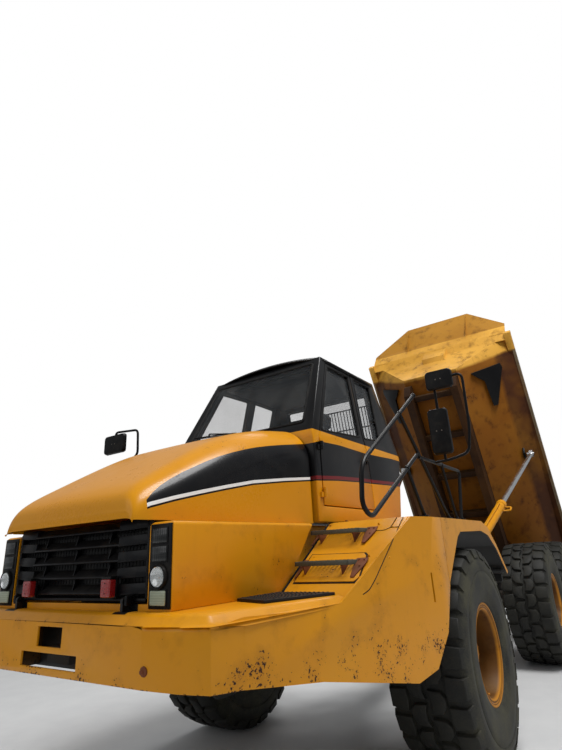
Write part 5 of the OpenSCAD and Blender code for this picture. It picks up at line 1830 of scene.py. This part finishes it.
@dataclass
class DumpBody(Part):
    """The raised dump body with its beams, ribs and welds."""

    def build(self) -> None:
        """Dresses the plates, beams and brackets and adds welds and hinge caps."""
        Dressed("dump_body", 0.005).build(self.finishes.load, "worn_yellow")
        Dressed("body_beams", 0.006).build(self.finishes.beam, "worn_yellow")
        Dressed("body_brackets", 0.004).build(self.finishes.black, "trim_black")
        self._welds()
        self._pivot_caps()

    def _welds(self) -> None:
        """Runs weld beads along the long joins of the plates."""
        welds = Shape()
        for side in (1, -1):
            for front, rear, z, radius in ((-2.70, -6.40, 1.688, 0.007), (-2.85, -6.50, 1.405, 0.004)):
                welds.tube([raised(x, side * 0.563, z) for x in (front, rear)], radius, sides=8)
        welds.piece("body_welds", self.finishes.beam, "bed", "worn_yellow")

    def _pivot_caps(self) -> None:
        """Adds the pin caps of the body's pivot."""
        caps = Shape()
        for side in (1, -1):
            centre = at(BED_PIVOT[0], side * 0.560, BED_PIVOT[1])
            caps.rod(centre - Vector((0, side * 0.004, 0)), centre + Vector((0, side * 0.014, 0)), 0.075,
                     sides=32, edge=0.004)
            for a, b in circle(4, 0.052, 0.6):
                caps.bolt(centre + Vector((a, side * 0.014, b)), (0, side, 0), 0.009)
        caps.piece("pivot_caps", self.finishes.iron, "rear_frame", "chassis_steel")


@dataclass
class Cylinders(Part):
    """Hoist and steering cylinders with glands, pipes and clamps."""

    hoist_foot: tuple[float, float, float] = (-2.300, 0.710, 1.300)
    hoist_eye: tuple[float, float, float] = (-4.797, 1.420, 2.310)
    hoist_end: float = 2.450
    steer_foot: tuple[float, float, float] = (-0.110, 0.550, 1.225)
    steer_eye: tuple[float, float, float] = (-1.610, 0.420, 1.225)
    steer_end: float = 0.94

    def build(self) -> None:
        """Dresses the cylinders and fits what is on them."""
        for name, side in (("left", 1), ("right", -1)):
            for kind in ("hoist", "steer"):
                Dressed(f"{kind}_barrel_{name}", 0.004, 2, 0.003).build(self.finishes.yellow, "body_yellow")
                Dressed(f"{kind}_rod_{name}", 0.0).build(self.finishes.chrome, "rod_chrome")
            foot, eye, start, end = ((x, side * y, z) for x, y, z in (
                self.hoist_foot, self.hoist_eye, self.steer_foot, self.steer_eye))
            self._hoist(name, side, at(*foot), (raised(*eye) - at(*foot)).normalized())
            self._steer(name, at(*start), (at(*end) - at(*start)).normalized())

    @staticmethod
    def _ring(shape: Shape, start: Vector, along: Vector, length: float, inner: float, outer: float,
              steps: int = 40) -> None:
        """Adds a ring round a barrel.

        Args:
            shape: The shape it goes into.
            start: Middle of its near face.
            along: Direction of the barrel.
            length: How long it is.
            inner: Its inner radius, inside the barrel's wall.
            outer: Its outer radius.
            steps: Steps round it.
        """
        edge = min(0.005, length * 0.2)
        shape.lathe(start, along, ((inner, 0.0), (outer - edge, 0.0), (outer, edge), (outer, length - edge),
                                   (outer - edge, length), (inner, length), (inner, 0.0)), steps)

    def _hoist(self, name: str, side: int, foot: Vector, along: Vector) -> None:
        """Adds the gland nut, feed pipe and clamps of a hoist barrel.

        Args:
            name: Which side it is on, in words.
            side: 1 on the left, -1 on the right.
            foot: Its pin on the rear frame.
            along: Direction of the barrel.
        """
        fittings = Shape()
        end = foot + along * self.hoist_end
        self._ring(fittings, end - along * 0.105, along, 0.085, 0.060, 0.083)
        self._ring(fittings, end - along * 0.030, along, 0.026, 0.060, 0.079, 8)
        out = Vector((1, 0, 0)) - along * along.x
        out.normalize()
        fittings.tube([foot + along * 0.16 + out * 0.070, foot + along * 0.20 + out * 0.098,
                       end - along * 0.20 + out * 0.098, end - along * 0.155 + out * 0.068], 0.013, 0.04)
        outward = along.cross(out)
        outward *= math.copysign(1.0, side * outward.y)
        fittings.tube([end - along * back + outward * away for back, away in (
            (0.10, 0.078), (0.06, 0.165), (0.17, 0.175), (0.24, 0.078))], 0.014, 0.03)
        for share in (0.25, 0.55, 0.85):
            where = foot + along * (self.hoist_end * share)
            self._ring(fittings, where - along * 0.014, along, 0.028, 0.060, 0.080)
            fittings.rod(where + out * 0.072 - along * 0.012, where + out * 0.112 - along * 0.012, 0.010,
                         sides=10)
        fittings.piece(f"hoist_fittings_{name}", self.finishes.yellow, f"hoist_barrel_{name}", "body_yellow")

    def _steer(self, name: str, start: Vector, along: Vector) -> None:
        """Adds the gland and ports of a steering barrel."""
        fittings = Shape()
        end = start + along * self.steer_end
        self._ring(fittings, end - along * 0.075, along, 0.063, 0.045, 0.064)
        for distance in (0.12, 0.82):
            port = start + along * distance
            fittings.rod(port + Vector((0, 0, 0.050)), port + Vector((0, 0, 0.082)), 0.016, sides=6,
                         edge=0.002)
        fittings.piece(f"steer_fittings_{name}", self.finishes.steel, f"steer_barrel_{name}", "chassis_steel")


@dataclass
class Studio:
    """The floor, the lights and the camera."""

    eye: Vector = field(default_factory=lambda: at(5.0136, 2.9293, 1.7728))
    yaw: float = 3.7328
    pitch: float = 0.3478
    roll: float = -0.051
    lens: float = 23.66
    ambient: float = 0.36
    # name, place, size and power of each light
    lights: tuple[tuple[str, tuple[float, float, float], float, float], ...] = (
        ("key", (0.0, 5.5, 15.0), 7.0, 2000.0), ("fill", (11.0, -3.0, 7.0), 9.0, 180.0),
        ("back", (-13.0, -4.0, 13.0), 9.0, 700.0))

    def camera(self) -> None:
        """Sets the camera where the photograph was taken from."""
        ahead = Vector((math.cos(self.pitch) * math.cos(self.yaw), math.cos(self.pitch) * math.sin(self.yaw),
                        math.sin(self.pitch)))
        right = ahead.cross(Vector((0, 0, 1))).normalized()
        level = Matrix.Rotation(-self.roll, 3, ahead)
        turn = Matrix((level @ right, level @ right.cross(ahead), -ahead)).transposed()
        data = bpy.data.cameras.new("view")
        data.sensor_fit = "VERTICAL"
        data.sensor_height = 36.0
        data.lens = self.lens
        data.clip_end = 500.0
        made = to_scene("view", data)
        made.matrix_world = Matrix.Translation(self.eye) @ turn.to_4x4()
        bpy.context.scene.camera = made

    @staticmethod
    def floor() -> None:
        """Lays a pale floor that keeps the machine's shadow."""
        ground = bmesh.new()
        bmesh.ops.create_grid(ground, x_segments=1, y_segments=1, size=60.0)
        mesh = to_mesh(ground, "floor")
        made = to_scene("floor", mesh)
        bench = Bench("pale_floor")
        grain = bench.noise(3.0, 4.0).above(0.3, 0.7)
        mesh.materials.append(bench.finish(bench.mix(grain, (0.54, 0.54, 0.54), (0.58, 0.58, 0.575)), 0.95))

    def sky(self) -> None:
        """Sets a white background that lights the machine more softly than it shows."""
        world = bpy.data.worlds.new("studio")
        bpy.context.scene.world = world
        world.use_nodes = True
        tree = world.node_tree
        tree.nodes.clear()
        path, seen, lit, either, pick, output = (tree.nodes.new(f"ShaderNode{kind}") for kind in (
            "LightPath", "Background", "Background", "Math", "MixShader", "OutputWorld"))
        either.operation = "MAXIMUM"
        for node, colour, strength in ((seen, (1, 1, 1, 1), 1.0), (lit, (0.94, 0.97, 1.0, 1), self.ambient)):
            node.inputs["Color"].default_value = colour
            node.inputs["Strength"].default_value = strength
        for start, end in ((path.outputs["Is Camera Ray"], either.inputs[0]),
                           (path.outputs["Is Transmission Ray"], either.inputs[1]),
                           (either.outputs[0], pick.inputs[0]), (lit.outputs[0], pick.inputs[1]),
                           (seen.outputs[0], pick.inputs[2]), (pick.outputs[0], output.inputs["Surface"])):
            tree.links.new(start, end)

    def lamps(self) -> None:
        """Hangs the soft lights."""
        for name, where, size, power in self.lights:
            data = bpy.data.lights.new(name, "AREA")
            data.shape = "DISK"
            data.size = size
            data.energy = power
            made = to_scene(name, data)
            where = at(*where)
            made.matrix_world = Matrix.Translation(where) @ spin_to(where - at(-1.5, 0, 1.5))

    def build(self) -> None:
        """Sets the studio up."""
        self.camera()
        self.floor()
        self.sky()
        self.lamps()
        bpy.context.scene.view_settings.view_transform = "Standard"


def main() -> None:
    """Builds the studio and dresses the machine, piece by piece."""
    logging.basicConfig(level=logging.INFO, format="%(name)s: %(message)s")
    Studio().build()
    finishes = Finishes()
    for builder in (Plates, Wheels, Hood, Grille, Lamps, Cab, Rails, Steps, Chassis, DumpBody, Cylinders):
        builder(finishes).build()


if __name__ == "__main__":
    main()
